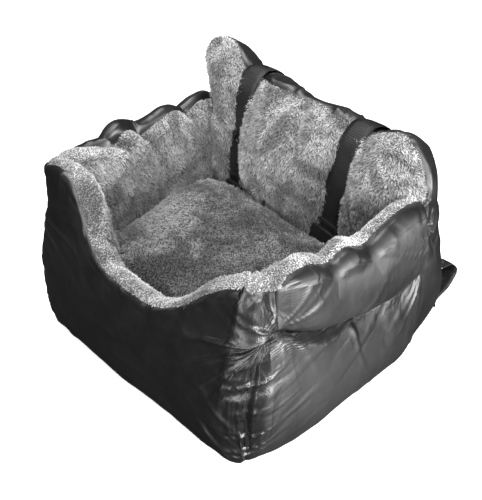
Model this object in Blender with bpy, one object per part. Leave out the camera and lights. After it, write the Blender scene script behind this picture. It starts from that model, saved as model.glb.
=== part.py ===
"""Booster seat for a small dog: a stuffed nylon tub lined with plush, a bolster at the back,
a lift-out cushion, two webbing straps over the bolster with buckles, and side pockets.

Metres, +Z up, +Y to the back, origin at the bottom centre of the whole part."""
import math

import bmesh
import bpy
from mathutils import Vector

for old in list(bpy.data.objects):
    bpy.data.objects.remove(old)

# Overall sizes
seat_width = 0.462
seat_depth = 0.430
rim_height = 0.290
back_height = 0.368
corner_radius = 0.040
inner_corner_radius = 0.012
rear_corner_radius = 0.026

# Walls
wall_thickness = 0.030
rim_round = 0.016
foot_tuck = 0.010
front_lean = 0.030
side_lean = 0.016
back_lean = 0.010
lean_curve = 1.3
belly_height_share = 0.32
waist_depth = 0.009

# Cloth and clearances
nylon_thickness = 0.0015
plush_thickness = 0.0050
skin_clearance = 0.0006
mitre_clearance = 0.0010
part_clearance = 0.0003
butt_clearance = 0.0012
strap_clearance = 0.0024
end_wrap_clearance = 0.0012
hem_clearance = 0.0016
seam_trim_share = 0.92
end_wrap_share = 0.10

# Floor of the tub
base_thickness = 0.0030
base_margin = 0.014
floor_height = 0.0840
floor_cloth = 0.0015

# Bolster
bolster_depth = 0.080
lobe_bulge = 0.022
back_swell = 0.004
back_swell_curve = 0.6
top_round = 0.020
crown_drop_share = 0.25
crown_edge_share = 0.86

# Cushion
cushion_height = 0.080
cushion_edge_height = 0.052
cushion_crown = 0.018
cushion_corner_radius = 0.045
cushion_clearance = 0.0015
cushion_tuck = 0.007
cover_thickness = 0.0040
underside_thickness = 0.0020
crown_power = 4
edge_reach_share = 0.9
outline_rows = 4

# Webbing and buckles
webbing_width = 0.038
webbing_thickness = 0.0016
left_strap_gap = 0.0322
right_strap_gap = 0.0502
left_strap_slope_share = 0.09
right_strap_slope_share = 0.20
strap_notch_half = 0.0285
strap_standoff = 0.0050
strap_foot_height = 0.040
buckle_width = 0.047
buckle_depth = 0.0115
buckle_wall = 0.0020
housing_length = 0.028
tongue_collar = 0.013
prong_length = 0.018
prong_width = 0.0065
guide_width = 0.008
prong_thickness = 0.0045
buckle_top_height = 0.1400
adjuster_length = 0.024
adjuster_bar = 0.0052
adjuster_rail = 0.0036
adjuster_thickness = 0.0022
adjuster_gap = 0.0145
slot_clearance = 0.0005
strap_free_length = 0.085
tongue_entry = 0.004
edge_softness = 0.0008
waisted_share = 0.90
tail_share = 0.12
cutter_overrun = 0.004
tab_clearance = 0.0006
tab_reach_share = 0.28

# Pockets
pocket_front_share = 0.02
pocket_rear_share = 0.95
pocket_foot_height = 0.006
pocket_belly_depth = 0.009
pocket_mouth_gap = 0.0165
pocket_clearance = 0.0019
elastic_height = 0.013
elastic_thickness = 0.0040
gather_depth = 0.0012
gather_count = 22
pocket_columns = 14
pocket_rows = 6
pocket_curve = 0.7

# Belt loops at the rear
loop_width = 0.025
loop_inset = 0.0285
loop_top_height = 0.124
loop_bottom_height = 0.066
loop_tail_length = 0.014
loop_projection = 0.034
loop_shoulder_share = 0.6
loop_flat_share = 0.4
loop_rise_share = 0.62
loop_crown_share = 0.97

# Shares that shape the rims, the bolster and the pockets
front_rim_shares = (
    (-1.0, 0.965), (-0.88, 0.99), (-0.76, 0.985), (-0.66, 0.94), (-0.58, 0.86), (-0.50, 0.755),
    (-0.36, 0.65), (-0.12, 0.60), (0.08, 0.595), (0.26, 0.605), (0.40, 0.645), (0.54, 0.71),
    (0.66, 0.785), (0.80, 0.87), (1.0, 0.945))
right_rim_shares = ((0.0, 0.945), (0.16, 0.94), (0.30, 0.905), (0.36, 0.875), (0.50, 0.89),
                    (0.60, 0.85), (0.74, 0.88), (0.88, 0.905), (1.0, 0.90))
left_rim_shares = ((0.0, 0.955), (0.12, 0.96), (0.20, 0.93), (0.31, 0.915), (0.39, 0.96),
                   (0.47, 0.91), (0.62, 0.945), (0.72, 0.965), (0.79, 0.925), (0.90, 0.96),
                   (1.0, 0.955))
waist_shares = ((0.0, 0.80), (0.13, 0.675), (0.24, 0.61), (0.38, 0.55), (0.53, 0.515),
                (0.66, 0.50), (0.78, 0.49), (0.90, 0.50), (1.0, 0.555))
front_waist_shares = ((0.0, 0.62), (0.6, 0.62), (1.0, 0.83))
lower_level_shares = (0.0, 0.34, 0.68, 0.90, 1.0)
upper_level_shares = (0.34, 0.72)
pinch_shares = (0.0, 0.0, 0.15, 0.60, 1.0, -0.10, -0.50)
arch_steps = 4
inner_level_shares = (0.30, 0.62, 1.0)
side_station_shares = (0.12, 0.24, 0.36, 0.48, 0.60, 0.72, 0.84, 1.0)
arc_steps = 3
waist_fade_share = 0.16
left_lobe_shares = ((0.0, 0.905), (0.35, 0.95), (0.70, 0.98), (1.0, 0.99))
left_ear_shares = ((0.45, 1.0), (0.78, 0.975), (1.0, 0.89))
middle_lobe_shares = ((0.0, 0.905), (0.20, 0.90), (0.42, 0.89), (0.62, 0.885), (0.82, 0.868),
                      (1.0, 0.855))
right_lobe_shares = ((0.0, 0.855), (0.28, 0.875), (0.64, 0.895), (1.0, 0.895))
right_ear_shares = ((0.40, 0.865), (0.75, 0.80), (1.0, 0.72))
back_rear_shares = (0.0, 0.22, 0.45, 0.68, 0.86)
back_front_shares = (0.09, 0.22, 0.38, 0.55, 0.72, 0.87, 1.0)
recede_shares = (0.20, 0.09, 0.02, 0.0, 0.0, 0.0, 0.0)
bulge_shares = (0.42, 0.75, 0.97, 1.0, 0.85, 0.60, 0.42)
top_edge_share = 0.36
top_rear_share = 0.80
top_rear_drop_share = 0.90
lobe_curve = 0.6
cover_ring_shares = ((1.0, 0.0), (1.0, 0.30), (1.0, 0.62), (0.975, 0.86), (0.93, 0.97),
                     (0.84, 1.0), (0.64, 1.0), (0.36, 1.0))
edge_pull_share = 0.45

# Places worked out from the sizes
skin_build = skin_clearance + nylon_thickness
lining_build = skin_clearance + plush_thickness
core_half_width = seat_width / 2 - skin_build
front_face_y = -(seat_depth + loop_projection) / 2
back_face_y = front_face_y + seat_depth
core_front_y = front_face_y + skin_build
core_back_y = back_face_y - skin_build
bolster_y = core_back_y - bolster_depth
foot_level = base_thickness + skin_clearance
floor_top = floor_height + part_clearance + floor_cloth
lining_level = floor_top + part_clearance
well_half_width = core_half_width - side_lean - wall_thickness - lining_build
well_front_y = core_front_y + front_lean + wall_thickness + lining_build
well_back_y = bolster_y - lobe_bulge - lining_build
lobe_edge = well_half_width - lining_build
left_strap_x = -(lobe_edge - buckle_width / 2 - left_strap_gap)
right_strap_x = lobe_edge - buckle_width / 2 - right_strap_gap
adjuster_height = buckle_top_height + adjuster_gap
strap_line_y = bolster_y - lining_build - strap_standoff - webbing_thickness / 2
tab_thickness = webbing_thickness

nylon_black = (0.012, 0.012, 0.013, 1.0)
plush_grey = (0.32, 0.32, 0.32, 1.0)
cushion_grey = (0.20, 0.20, 0.20, 1.0)
foam_white = (0.80, 0.79, 0.74, 1.0)
webbing_black = (0.010, 0.010, 0.010, 1.0)
plastic_black = (0.018, 0.018, 0.018, 1.0)
grip_grey = (0.05, 0.05, 0.05, 1.0)


def material(name, colour, roughness):
    """A plain opaque finish of one colour."""
    made = bpy.data.materials.new(name)
    made.use_nodes = True
    shader = made.node_tree.nodes["Principled BSDF"]
    shader.inputs["Base Color"].default_value = colour
    shader.inputs["Roughness"].default_value = roughness
    shader.inputs["Metallic"].default_value = 0.0
    return made


nylon = material("nylon_cloth", nylon_black, 0.45)
plush = material("plush_pile", plush_grey, 0.95)
cushion_plush = material("cushion_pile", cushion_grey, 0.95)
foam = material("foam_filling", foam_white, 0.9)
webbing = material("webbing_strap", webbing_black, 0.7)
plastic = material("buckle_plastic", plastic_black, 0.4)
grip = material("grip_cloth", grip_grey, 0.8)


def finish(name, mesh_data, finish_material, origin=None, parent=None):
    """Close a bmesh into a named object with its own material."""
    bmesh.ops.recalc_face_normals(mesh_data, faces=mesh_data.faces[:])
    mesh = bpy.data.meshes.new(name)
    mesh_data.to_mesh(mesh)
    mesh_data.free()
    mesh.materials.append(finish_material)
    mesh.shade_smooth()
    mesh.set_sharp_from_angle(angle=math.radians(40))
    made = bpy.data.objects.new(name, mesh)
    bpy.context.collection.objects.link(made)
    if origin is not None:
        made.location = origin
    if parent is not None:
        made.parent = parent
    return made


def blend_shares(table, share):
    """Read a smooth curve through a table of (place, value) shares."""
    places = [row[0] for row in table]
    values = [row[1] for row in table]
    last = len(table) - 1
    share = min(max(share, places[0]), places[last])
    k = max(i for i in range(last) if places[i] <= share)
    width = places[k + 1] - places[k]
    t = (share - places[k]) / width

    def slope(i):
        low, high = max(i - 1, 0), min(i + 1, last)
        return (values[high] - values[low]) / (places[high] - places[low])

    square, cube = t * t, t * t * t
    return ((2 * cube - 3 * square + 1) * values[k] + (cube - 2 * square + t) * width * slope(k)
            + (3 * square - 2 * cube) * values[k + 1] + (cube - square) * width * slope(k + 1))


def setback(height, lean):
    """How far the outer face stands inside its widest line at a height."""
    belly = belly_height_share * rim_height
    if height < belly:
        return foot_tuck * ((belly - height) / belly) ** 2
    return lean * min((height - belly) / (rim_height - belly), 1.0) ** lean_curve


def back_face(height):
    """How far the rear face stands out from its upright line at a height."""
    share = (height / back_height) ** back_swell_curve
    return back_swell * math.sin(math.pi * share) - setback(height, back_lean)


def zip_cap(mesh_data, ring):
    """Close a ring by triangles between its first half and its last half, paired in turn."""
    count = len(ring)
    for k in range(count // 2):
        mirror = count - 1 - k
        if mirror - k < 2:
            break
        mesh_data.faces.new((ring[k], ring[k + 1], ring[mirror]))
        if mirror - k > 2:
            mesh_data.faces.new((ring[k + 1], ring[mirror - 1], ring[mirror]))


def loft(name, rings, finish_material):
    """A solid through closed rings of points, capped at both ends."""
    mesh_data = bmesh.new()
    rows = [[mesh_data.verts.new(point) for point in ring] for ring in rings]
    count = len(rows[0])
    for low, high in zip(rows, rows[1:]):
        for j in range(count):
            k = (j + 1) % count
            mesh_data.faces.new((low[j], low[k], high[k]))
            mesh_data.faces.new((low[j], high[k], high[j]))
    zip_cap(mesh_data, rows[0])
    zip_cap(mesh_data, rows[-1])
    return finish(name, mesh_data, finish_material)


def slab(name, inside, outside, finish_material):
    """A sheet with a thickness, between two grids of points."""
    mesh_data = bmesh.new()
    inner = [[mesh_data.verts.new(point) for point in row] for row in inside]
    outer = [[mesh_data.verts.new(point) for point in row] for row in outside]
    for grid in (inner, outer):
        for low, high in zip(grid, grid[1:]):
            for j in range(len(low) - 1):
                mesh_data.faces.new((low[j], low[j + 1], high[j + 1]))
                mesh_data.faces.new((low[j], high[j + 1], high[j]))
    rim = [(0, j) for j in range(len(inner[0]) - 1)]
    rim += [(i, len(inner[0]) - 1) for i in range(len(inner) - 1)]
    rim += [(len(inner) - 1, j) for j in range(len(inner[0]) - 1, 0, -1)]
    rim += [(i, 0) for i in range(len(inner) - 1, 0, -1)]
    for (a, b), (c, d) in zip(rim, rim[1:] + rim[:1]):
        mesh_data.faces.new((inner[a][b], inner[c][d], outer[c][d], outer[a][b]))
    return finish(name, mesh_data, finish_material)


def push(points, distance, level_ends):
    """Move a section of (inset, height) points square to its own line."""
    moved = []
    for k, (inset, height) in enumerate(points):
        before, after = points[max(k - 1, 0)], points[min(k + 1, len(points) - 1)]
        along, rise = after[0] - before[0], after[1] - before[1]
        size = math.hypot(along, rise)
        normal = (-rise / size, along / size)
        if k in level_ends:
            normal = (math.copysign(1.0, normal[0]), 0.0)
        moved.append((inset + normal[0] * distance, height + normal[1] * distance))
    return moved


def wall_section(rim, waist, lean, pinch):
    """The closed section of a wall, from its outer foot over the rim to its inner foot."""
    crown = rim - rim_round
    levels = [foot_level + share * (waist - foot_level) for share in lower_level_shares]
    levels += [waist + share * (crown - waist) for share in upper_level_shares]
    points = [(setback(height, lean) + pinch * depth, height)
              for height, depth in zip(levels, pinch_shares)]
    top_inset = setback(crown, lean)
    for step in range(arch_steps + 1):
        turn = math.pi * step / arch_steps
        across = wall_thickness * (1 - math.cos(turn)) / 2
        points.append((top_inset + across, crown + rim_round * math.sin(turn)))
    spare = lean - top_inset
    for share in inner_level_shares:
        height = crown + share * (lining_level - crown)
        points.append((top_inset + wall_thickness + spare * math.sin(share * math.pi / 2), height))
    points.append((lean + wall_thickness, foot_level))
    return points


outer_count = len(lower_level_shares) + len(upper_level_shares)
seam_index = outer_count + 1
lining_last = outer_count + arch_steps + len(inner_level_shares)
level_ends = (0, lining_last, lining_last + 1)


def corner_point(inset_x, inset_y, turn, side, shift):
    """A point on the rounded front corner, turned from the front towards the side."""
    mean = (inset_x + inset_y) / 2
    radius = max(corner_radius - mean, inner_corner_radius)
    centre_x = core_half_width - inset_x - radius
    centre_y = core_front_y + inset_y + radius + shift
    return (side * (centre_x + radius * math.sin(turn)), centre_y - radius * math.cos(turn))


def bolster_front(height, share_across):
    """The bolster's plain front face at its ends, as a y place, where the side walls butt."""
    top = left_ear_shares[-1][1] if share_across < 0 else right_ear_shares[-1][1]
    crown = top * back_height
    rear = rear_line(core_half_width)
    table = [(1.0 - share, recede) for share, recede in zip(back_front_shares, recede_shares)]
    table = [(0.0, 0.0)] + sorted(table)[1:] + [(1.0, top_edge_share)]
    level = (height - lining_level) / (crown - lining_level)
    return bolster_y + straight_shares(table, level) * (rear - bolster_y)


def straight_shares(table, share):
    """Read straight runs through a table of (place, value) shares."""
    share = min(max(share, table[0][0]), table[-1][0])
    for (low, start), (high, end) in zip(table, table[1:]):
        if share <= high:
            return start + (end - start) * (share - low) / (high - low)
    return table[-1][1]


def rear_line(across):
    """The y of the rear face at a distance from the middle, with its rounded corners."""
    over = abs(across) - (core_half_width - rear_corner_radius)
    if over <= 0:
        return core_back_y
    rise = math.sqrt(max(rear_corner_radius ** 2 - over ** 2, 0.0))
    return core_back_y - rear_corner_radius + rise


def front_wall_grid(distance):
    """Stations along the front wall, each a section pushed out by a distance."""
    grid = []
    turns = [math.pi / 4 * (1 - step / arc_steps) for step in range(arc_steps)]
    stations = [("left", turn) for turn in turns]
    stations += [("run", share) for share, height in front_rim_shares]
    stations += [("right", turn) for turn in reversed(turns)]
    for kind, value in stations:
        place = value if kind == "run" else (-1.0 if kind == "left" else 1.0)
        rim = blend_shares(front_rim_shares, place) * rim_height
        waist = blend_shares(front_waist_shares, abs(place)) * rim
        ring_x = push(wall_section(rim, waist, side_lean, 0.0), distance, level_ends)
        ring_y = push(wall_section(rim, waist, front_lean, 0.0), distance, level_ends)
        ring = []
        for (inset_x, level_x), (inset_y, height) in zip(ring_x, ring_y):
            if kind == "run":
                x, y = corner_point(inset_x, inset_y, 0.0, 1.0, 0.0)
                ring.append(Vector((x * place, y, height)))
            else:
                side = -1.0 if kind == "left" else 1.0
                x, y = corner_point(inset_x, inset_y, value, side, 0.0)
                ring.append(Vector((x, y, height)))
        grid.append(ring)
    return grid


def side_wall_grid(side, distance, wrap):
    """Stations along a side wall, from the front corner to the bolster's face."""
    rims = left_rim_shares if side < 0 else right_rim_shares
    turns = [math.pi / 4 * (1 + step / arc_steps) for step in range(arc_steps + 1)]
    stations = [("corner", turn) for turn in turns]
    stations += [("run", share) for share in side_station_shares]
    stations += [("wrap", 1.0)] if wrap else []
    grid = []
    for kind, value in stations:
        place = value if kind != "corner" else 0.0
        rim = blend_shares(rims, place) * rim_height
        waist = blend_shares(waist_shares, place) * rim_height
        fade = min(1.0, (1.0 - place) / waist_fade_share)
        if kind == "corner":
            fade = (value - math.pi / 4) / (math.pi / 4)
        waist = min(waist, rim - 2 * rim_round)
        pinch = waist_depth * fade
        ring_x = push(wall_section(rim, waist, side_lean, pinch), distance, level_ends)
        ring_y = push(wall_section(rim, waist, front_lean, pinch), distance, level_ends)
        ring = []
        for k, ((inset_x, height), (inset_y, level_y)) in enumerate(zip(ring_x, ring_y)):
            turn = value if kind == "corner" else math.pi / 2
            x, y = corner_point(inset_x, inset_y, turn, side, mitre_clearance)
            if kind != "corner":
                over_rim = kind == "run" or k >= outer_count
                gap = lining_build + butt_clearance if over_rim else skin_clearance
                y = y + value * (bolster_y - gap - y)
            ring.append(Vector((x, y, height)))
        grid.append(ring)
    return grid


def rows_between(grid, first, last):
    """The part of each station's ring between two point numbers."""
    return [ring[first:last + 1] for ring in grid]


def trim_last(grid, share):
    """Draw the last point of each row back, which leaves a seam gap."""
    return [row[:-1] + [row[-2].lerp(row[-1], share)] for row in grid]


def build_wall(name, grid_at):
    """A stuffed wall: its filling, its nylon outside and its plush lining."""
    loft(name + "_filling", grid_at(0.0, False), foam)
    shell = [rows_between(grid_at(distance, True), 0, seam_index)
             for distance in (skin_clearance, skin_build)]
    shell = [trim_last(grid, seam_trim_share) for grid in shell]
    slab(name + "_nylon_panel", shell[0], shell[1], nylon)
    lining = [rows_between(grid_at(distance, False), seam_index, lining_last)
              for distance in (skin_clearance, lining_build)]
    slab(name + "_plush_lining", lining[0], lining[1], plush)


def lobe_stations():
    """Stations across the bolster: x at the top, height share, lobe share, strap weights."""
    left_out = left_strap_x - strap_notch_half
    left_in = left_strap_x + strap_notch_half
    right_in = right_strap_x - strap_notch_half
    right_out = right_strap_x + strap_notch_half
    stations = []
    for share, height in reversed(left_ear_shares):
        x = -lobe_edge - share * (core_half_width - lobe_edge)
        stations.append((x, height, 1.0, 0.0, 0.0))
    for share, height in reversed(left_lobe_shares):
        x = left_out + share * (-lobe_edge - left_out)
        stations.append((x, height, share, 1.0 - share, 0.0))
    for share, height in middle_lobe_shares:
        x = left_in + share * (right_in - left_in)
        stations.append((x, height, share, 1.0 - share, share))
    for share, height in right_lobe_shares:
        x = right_out + share * (lobe_edge - right_out)
        stations.append((x, height, share, 0.0, 1.0 - share))
    for share, height in right_ear_shares:
        x = lobe_edge + share * (core_half_width - lobe_edge)
        stations.append((x, height, 1.0, 0.0, 0.0))
    return stations


def bolster_section(station):
    """The bolster's section: up the rear, over the top and down the front to its foot."""
    across, height_share, lobe_share, left_weight, right_weight = station
    crown = height_share * back_height
    rear = rear_line(across)
    lobe = max(math.sin(math.pi * lobe_share), 0.0) ** lobe_curve
    shoulder = crown - top_round
    points = []
    for share in back_rear_shares:
        height = foot_level + share * (shoulder - foot_level)
        points.append([across, rear + back_face(height), height])
    depth = rear - bolster_y
    points.append([across, bolster_y + depth * top_rear_drop_share - back_lean / 2, shoulder])
    points.append([across, bolster_y + depth * top_rear_share * crown_edge_share,
                   crown - top_round * crown_drop_share])
    points.append([across, bolster_y + depth * top_edge_share, crown])
    for level, recede, bulge in zip(back_front_shares, recede_shares, bulge_shares):
        height = crown + level * (lining_level - crown)
        drift = (left_weight * left_strap_slope_share
                 + right_weight * right_strap_slope_share) * (height - crown)
        y = bolster_y + recede * depth - bulge * lobe * lobe_bulge
        points.append([across + drift, y, height])
    foot = list(points[-1])
    foot[2] = foot_level
    points.append(foot)
    side = math.copysign(1.0, across)
    for point in points:
        near_end = abs(across) / core_half_width
        point[0] -= side * near_end * setback(point[2], side_lean)
    return [Vector(point) for point in points]


top_edge_index = len(back_rear_shares) + 2
bolster_floor_index = top_edge_index + len(back_front_shares)


def swell(grid, distance):
    """Move a grid of points square to its own surface."""
    moved = []
    for i, row in enumerate(grid):
        new_row = []
        for j, point in enumerate(row):
            along = grid[min(i + 1, len(grid) - 1)][j] - grid[max(i - 1, 0)][j]
            up = row[min(j + 1, len(row) - 1)] - row[max(j - 1, 0)]
            new_row.append(point + up.cross(along).normalized() * distance)
        moved.append(new_row)
    return moved


def end_column(section, side):
    """The nylon that wraps a bolster end: a column of points near its front edge."""
    column = []
    for k in range(top_edge_index + 1):
        point = section[k]
        height = min(point.z, section[top_edge_index].z - skin_clearance)
        front = bolster_front(height, side)
        y = front + (point.y - front) * end_wrap_share
        column.append(Vector((point.x, y, point.z)))
    return column


def build_bolster():
    """The padded back: filling, nylon over the rear and top, plush down the front."""
    sections = [bolster_section(station) for station in lobe_stations()]
    loft("back_filling", sections, foam)
    rear = [section[:top_edge_index + 1] for section in sections]
    rear = [end_column(sections[0], -1.0)] + rear + [end_column(sections[-1], 1.0)]
    rear_grids = []
    for distance in (skin_clearance, skin_build):
        grid = swell(rear, distance)
        for column, side in ((grid[0], -1.0), (grid[-1], 1.0)):
            for point in column:
                point.x += side * end_wrap_clearance
        rear_grids.append(trim_last(grid, seam_trim_share))
    slab("back_nylon_panel", rear_grids[0], rear_grids[1], nylon)
    front = [section[top_edge_index:bolster_floor_index + 1] for section in sections]
    grids = []
    for distance in (skin_clearance, lining_build):
        grid = swell(front, distance)
        for row, plain in zip(grid, front):
            row[0].z = max(row[0].z, plain[0].z)
            row[-1].z = plain[-1].z
        for column, beside, plain_column in ((grid[0], grid[1], front[0]),
                                             (grid[-1], grid[-2], front[-1])):
            for point, inner, plain in zip(column, beside, plain_column):
                point.x = plain.x
                point += (inner - point).normalized() * end_wrap_clearance
        grids.append(grid)
    slab("back_plush_lining", grids[0], grids[1], plush)


def rounded_outline(half_x, front, back, radius, rows):
    """Points round a rectangle with round corners, counterclockwise from the front left."""
    outline = []
    corners = ((1.0, front, -math.pi / 2), (1.0, back, 0.0),
               (-1.0, back, math.pi / 2), (-1.0, front, math.pi))
    for k, (side, y, start) in enumerate(corners):
        centre_x = side * (half_x - radius)
        centre_y = y + radius if y == front else y - radius
        for step in range(rows + 1):
            turn = start + math.pi / 2 * step / rows
            outline.append(Vector((centre_x + radius * math.cos(turn),
                                   centre_y + radius * math.sin(turn), 0.0)))
        next_side, next_y, next_start = corners[(k + 1) % 4]
        finish_point = Vector((next_side * (half_x - radius) + radius * math.cos(next_start),
                               (next_y + radius if next_y == front else next_y - radius)
                               + radius * math.sin(next_start), 0.0))
        start_point = outline[-1].copy()
        for step in range(1, rows + 1):
            outline.append(start_point.lerp(finish_point, step / (rows + 1)))
    return outline


def block(name, half_x, front, back, radius, low, high, finish_material):
    """A flat slab with a rounded outline between two heights."""
    outline = rounded_outline(half_x, front, back, radius, outline_rows)
    rings = [[Vector((p.x, p.y, height)) for p in outline] for height in (low, high)]
    loft(name, rings, finish_material)


def build_base():
    """The grip sheet under the seat, the booster block on it and the floor of the well."""
    half = core_half_width - base_margin
    block("base_grip_sheet", half, core_front_y + base_margin, core_back_y - base_margin,
          corner_radius, 0.0, base_thickness, grip)
    block_half = core_half_width - side_lean - wall_thickness - skin_clearance
    block_front = core_front_y + front_lean + wall_thickness + skin_clearance
    block_back = bolster_y - bulge_shares[-1] * lobe_bulge - skin_clearance
    block("booster_block", block_half, block_front, block_back, inner_corner_radius * 2,
          foot_level, floor_height, foam)
    block("well_floor_cloth", block_half, block_front, block_back, inner_corner_radius * 2,
          floor_height + part_clearance, floor_top, nylon)


def cushion_surface(distance):
    """The cushion's crowned cover as rings of points, pulled in along its sides."""
    half_x = well_half_width - cushion_clearance
    half_y = (well_back_y - well_front_y) / 2 - cushion_clearance
    outline = rounded_outline(half_x, -half_y, half_y, cushion_corner_radius, outline_rows)
    result = []
    for reach, rise in cover_ring_shares:
        ring = []
        for point in outline:
            corner = min(abs(point.x) / half_x, abs(point.y) / half_y)
            pull = cushion_tuck * (1 - corner) * edge_pull_share * (reach > edge_reach_share)
            scale = reach * (1 - (pull + distance) / point.length)
            flat = point * scale
            crown = cushion_crown * max(1 - (flat.x / half_x) ** 2, 0.0) \
                * max(1 - (flat.y / half_y) ** 2, 0.0)
            base = rise * cushion_edge_height
            top = cushion_height - cushion_crown - cushion_edge_height
            height = base + rise * top * (1 - reach ** crown_power) + rise * crown
            ring.append(Vector((flat.x, flat.y, height - distance * (rise > edge_reach_share))))
        result.append(ring)
    return result


def close_peak(mesh_data, ring):
    """Close a ring of corners over one point at their middle."""
    middle = sum((corner.co for corner in ring), Vector()) / len(ring)
    tip = mesh_data.verts.new(middle)
    for j, corner in enumerate(ring):
        mesh_data.faces.new((corner, ring[(j + 1) % len(ring)], tip))


def close_dome(name, outer, inner, finish_material, origin):
    """A cap with a thickness: outer and inner domes of rings, joined at the hem."""
    mesh_data = bmesh.new()
    hems = []
    for rings in (outer, inner):
        rows = [[mesh_data.verts.new(point) for point in ring] for ring in rings]
        for low, high in zip(rows, rows[1:]):
            for j in range(len(low)):
                k = (j + 1) % len(low)
                mesh_data.faces.new((low[j], low[k], high[k]))
                mesh_data.faces.new((low[j], high[k], high[j]))
        close_peak(mesh_data, rows[-1])
        hems.append(rows[0])
    for j in range(len(hems[0])):
        k = (j + 1) % len(hems[0])
        mesh_data.faces.new((hems[0][j], hems[0][k], hems[1][k], hems[1][j]))
    return finish(name, mesh_data, finish_material, origin)


def build_cushion():
    """The lift-out cushion: plush cover, filling and an underside sheet."""
    seat = underside_thickness + part_clearance
    origin = Vector((0.0, (well_front_y + well_back_y) / 2, lining_level + part_clearance))
    lift = Vector((0.0, 0.0, seat))
    shell = [[point + lift for point in ring] for ring in cushion_surface(0.0)]
    hollow = [[point + lift for point in ring] for ring in cushion_surface(cover_thickness)]
    filling = cushion_surface(cover_thickness + skin_clearance)
    close_dome("cushion_cover", shell, hollow, cushion_plush, origin)
    mesh_data = bmesh.new()
    rows = [[mesh_data.verts.new(point + lift) for point in ring] for ring in filling]
    for low, high in zip(rows, rows[1:]):
        for j in range(len(low)):
            k = (j + 1) % len(low)
            mesh_data.faces.new((low[j], low[k], high[k]))
            mesh_data.faces.new((low[j], high[k], high[j]))
    mesh_data.faces.new(rows[0])
    close_peak(mesh_data, rows[-1])
    finish("cushion_filling", mesh_data, foam, origin)
    rings = [[Vector((p.x, p.y, height)) for p in shell[0]] for height in (0.0, underside_thickness)]
    sheet = loft("cushion_underside", rings, nylon)
    sheet.location = origin


def ribbon(name, path, width, thickness, finish_material):
    """A flat strap along a path of points, its width held level across the path."""
    rings = []
    for k, point in enumerate(path):
        tangent = (path[min(k + 1, len(path) - 1)] - path[max(k - 1, 0)]).normalized()
        level = Vector((1.0, 0.0, 0.0))
        across = (level - tangent * level.dot(tangent)).normalized()
        normal = tangent.cross(across)
        side = across * width / 2
        lift = normal * thickness / 2
        rings.append([point - side - lift, point + side - lift,
                      point + side + lift, point - side + lift])
    loft(name, rings, finish_material)


def buckle_frame(name, strap_x, slope, crown):
    """An empty at the top of a buckle, turned to the strap's run: Z along it, -Y outwards."""
    frame = bpy.data.objects.new(name, None)
    bpy.context.collection.objects.link(frame)
    x = strap_x + slope * (buckle_top_height - crown)
    side = math.copysign(1.0, strap_x)
    x -= side * abs(strap_x) / core_half_width * setback(buckle_top_height, side_lean)
    frame.location = (x, strap_line_y, buckle_top_height)
    frame.rotation_euler = (0.0, math.atan(slope), 0.0)
    frame.empty_display_size = buckle_width
    bpy.context.view_layer.update()
    return frame


def build_strap(prefix, strap_x, slope, top_share, frame):
    """Webbing from the rear foot over the bolster and down to the buckle's tongue."""
    weights = (1.0, 0.0) if strap_x < 0 else (0.0, 1.0)
    section = bolster_section((strap_x, top_share, 0.0) + weights)
    half = webbing_thickness / 2 + strap_clearance

    def pushed(points, k, distance):
        before, after = points[max(k - 1, 0)], points[min(k + 1, len(points) - 1)]
        run = after - before
        normal = Vector((0.0, run.z, -run.y)).normalized()
        return points[k] + normal * distance

    path = []
    for k in range(1, len(section)):
        if k < top_edge_index:
            path.append(pushed(section, k, skin_build + half))
        elif k == top_edge_index:
            path.append(pushed(section, k, lining_build + half))
        elif section[k].z > adjuster_height + strap_free_length:
            path.append(pushed(section, k, lining_build + half))
    start = section[0].lerp(section[1], strap_foot_height / (section[1].z - section[0].z))
    path[0:0] = [start + Vector((0.0, skin_build + half, 0.0))]
    along = Vector((math.sin(math.atan(slope)), 0.0, math.cos(math.atan(slope))))
    base = Vector(frame.location)
    reach = adjuster_height + strap_free_length - buckle_top_height
    for share in (1.0, 0.5, 0.0):
        path.append(base + along * (reach * share + tongue_entry * (1 - share)))
    ribbon(prefix + "_strap", path, webbing_width, webbing_thickness, webbing)


def box_mesh(mesh_data, low, high):
    """Add an axis-aligned box between two corners."""
    points = [mesh_data.verts.new((x, y, z)) for x in (low[0], high[0])
              for y in (low[1], high[1]) for z in (low[2], high[2])]
    for face in ((0, 1, 3, 2), (4, 6, 7, 5), (0, 4, 5, 1), (2, 3, 7, 6), (0, 2, 6, 4), (1, 5, 7, 3)):
        mesh_data.faces.new([points[k] for k in face])


def plate(name, outline, low_y, high_y, finish_material, parent):
    """A plate cut to an outline of (x, z) points, between two depths."""
    rings = [[Vector((x, y, z)) for x, z in outline] for y in (low_y, high_y)]
    made = loft(name, rings, finish_material)
    made.parent = parent
    return made


def combine(target, operation, low, high):
    """Cut a box out of a solid, or join one to it, through a Boolean that stays live."""
    mesh_data = bmesh.new()
    box_mesh(mesh_data, low, high)
    tool = finish("%s_tool_%d" % (target.name, len(target.modifiers)), mesh_data, plastic, None,
                  target.parent)
    tool.hide_render = True
    tool.display_type = "WIRE"
    modifier = target.modifiers.new(operation.lower(), "BOOLEAN")
    modifier.operation = operation
    modifier.object = tool
    modifier.solver = "EXACT"


def soften(target, width):
    """Round the long edges of a moulded piece."""
    modifier = target.modifiers.new("soft_edges", "BEVEL")
    modifier.width = width
    modifier.segments = 1
    modifier.limit_method = "ANGLE"
    modifier.angle_limit = math.radians(50)


def housing_outline(width, top, bottom):
    """A buckle body's face: square shoulders, a slight waist and a rounded tail."""
    half = width / 2
    waist = half * waisted_share
    middle = (top + bottom) / 2
    tail = (top - bottom) * tail_share
    return [(-half, top), (-half, top - tail), (-waist, middle), (-half, bottom + 2 * tail),
            (-half + tail, bottom), (half - tail, bottom), (half, bottom + 2 * tail),
            (waist, middle), (half, top - tail), (half, top)]


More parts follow.
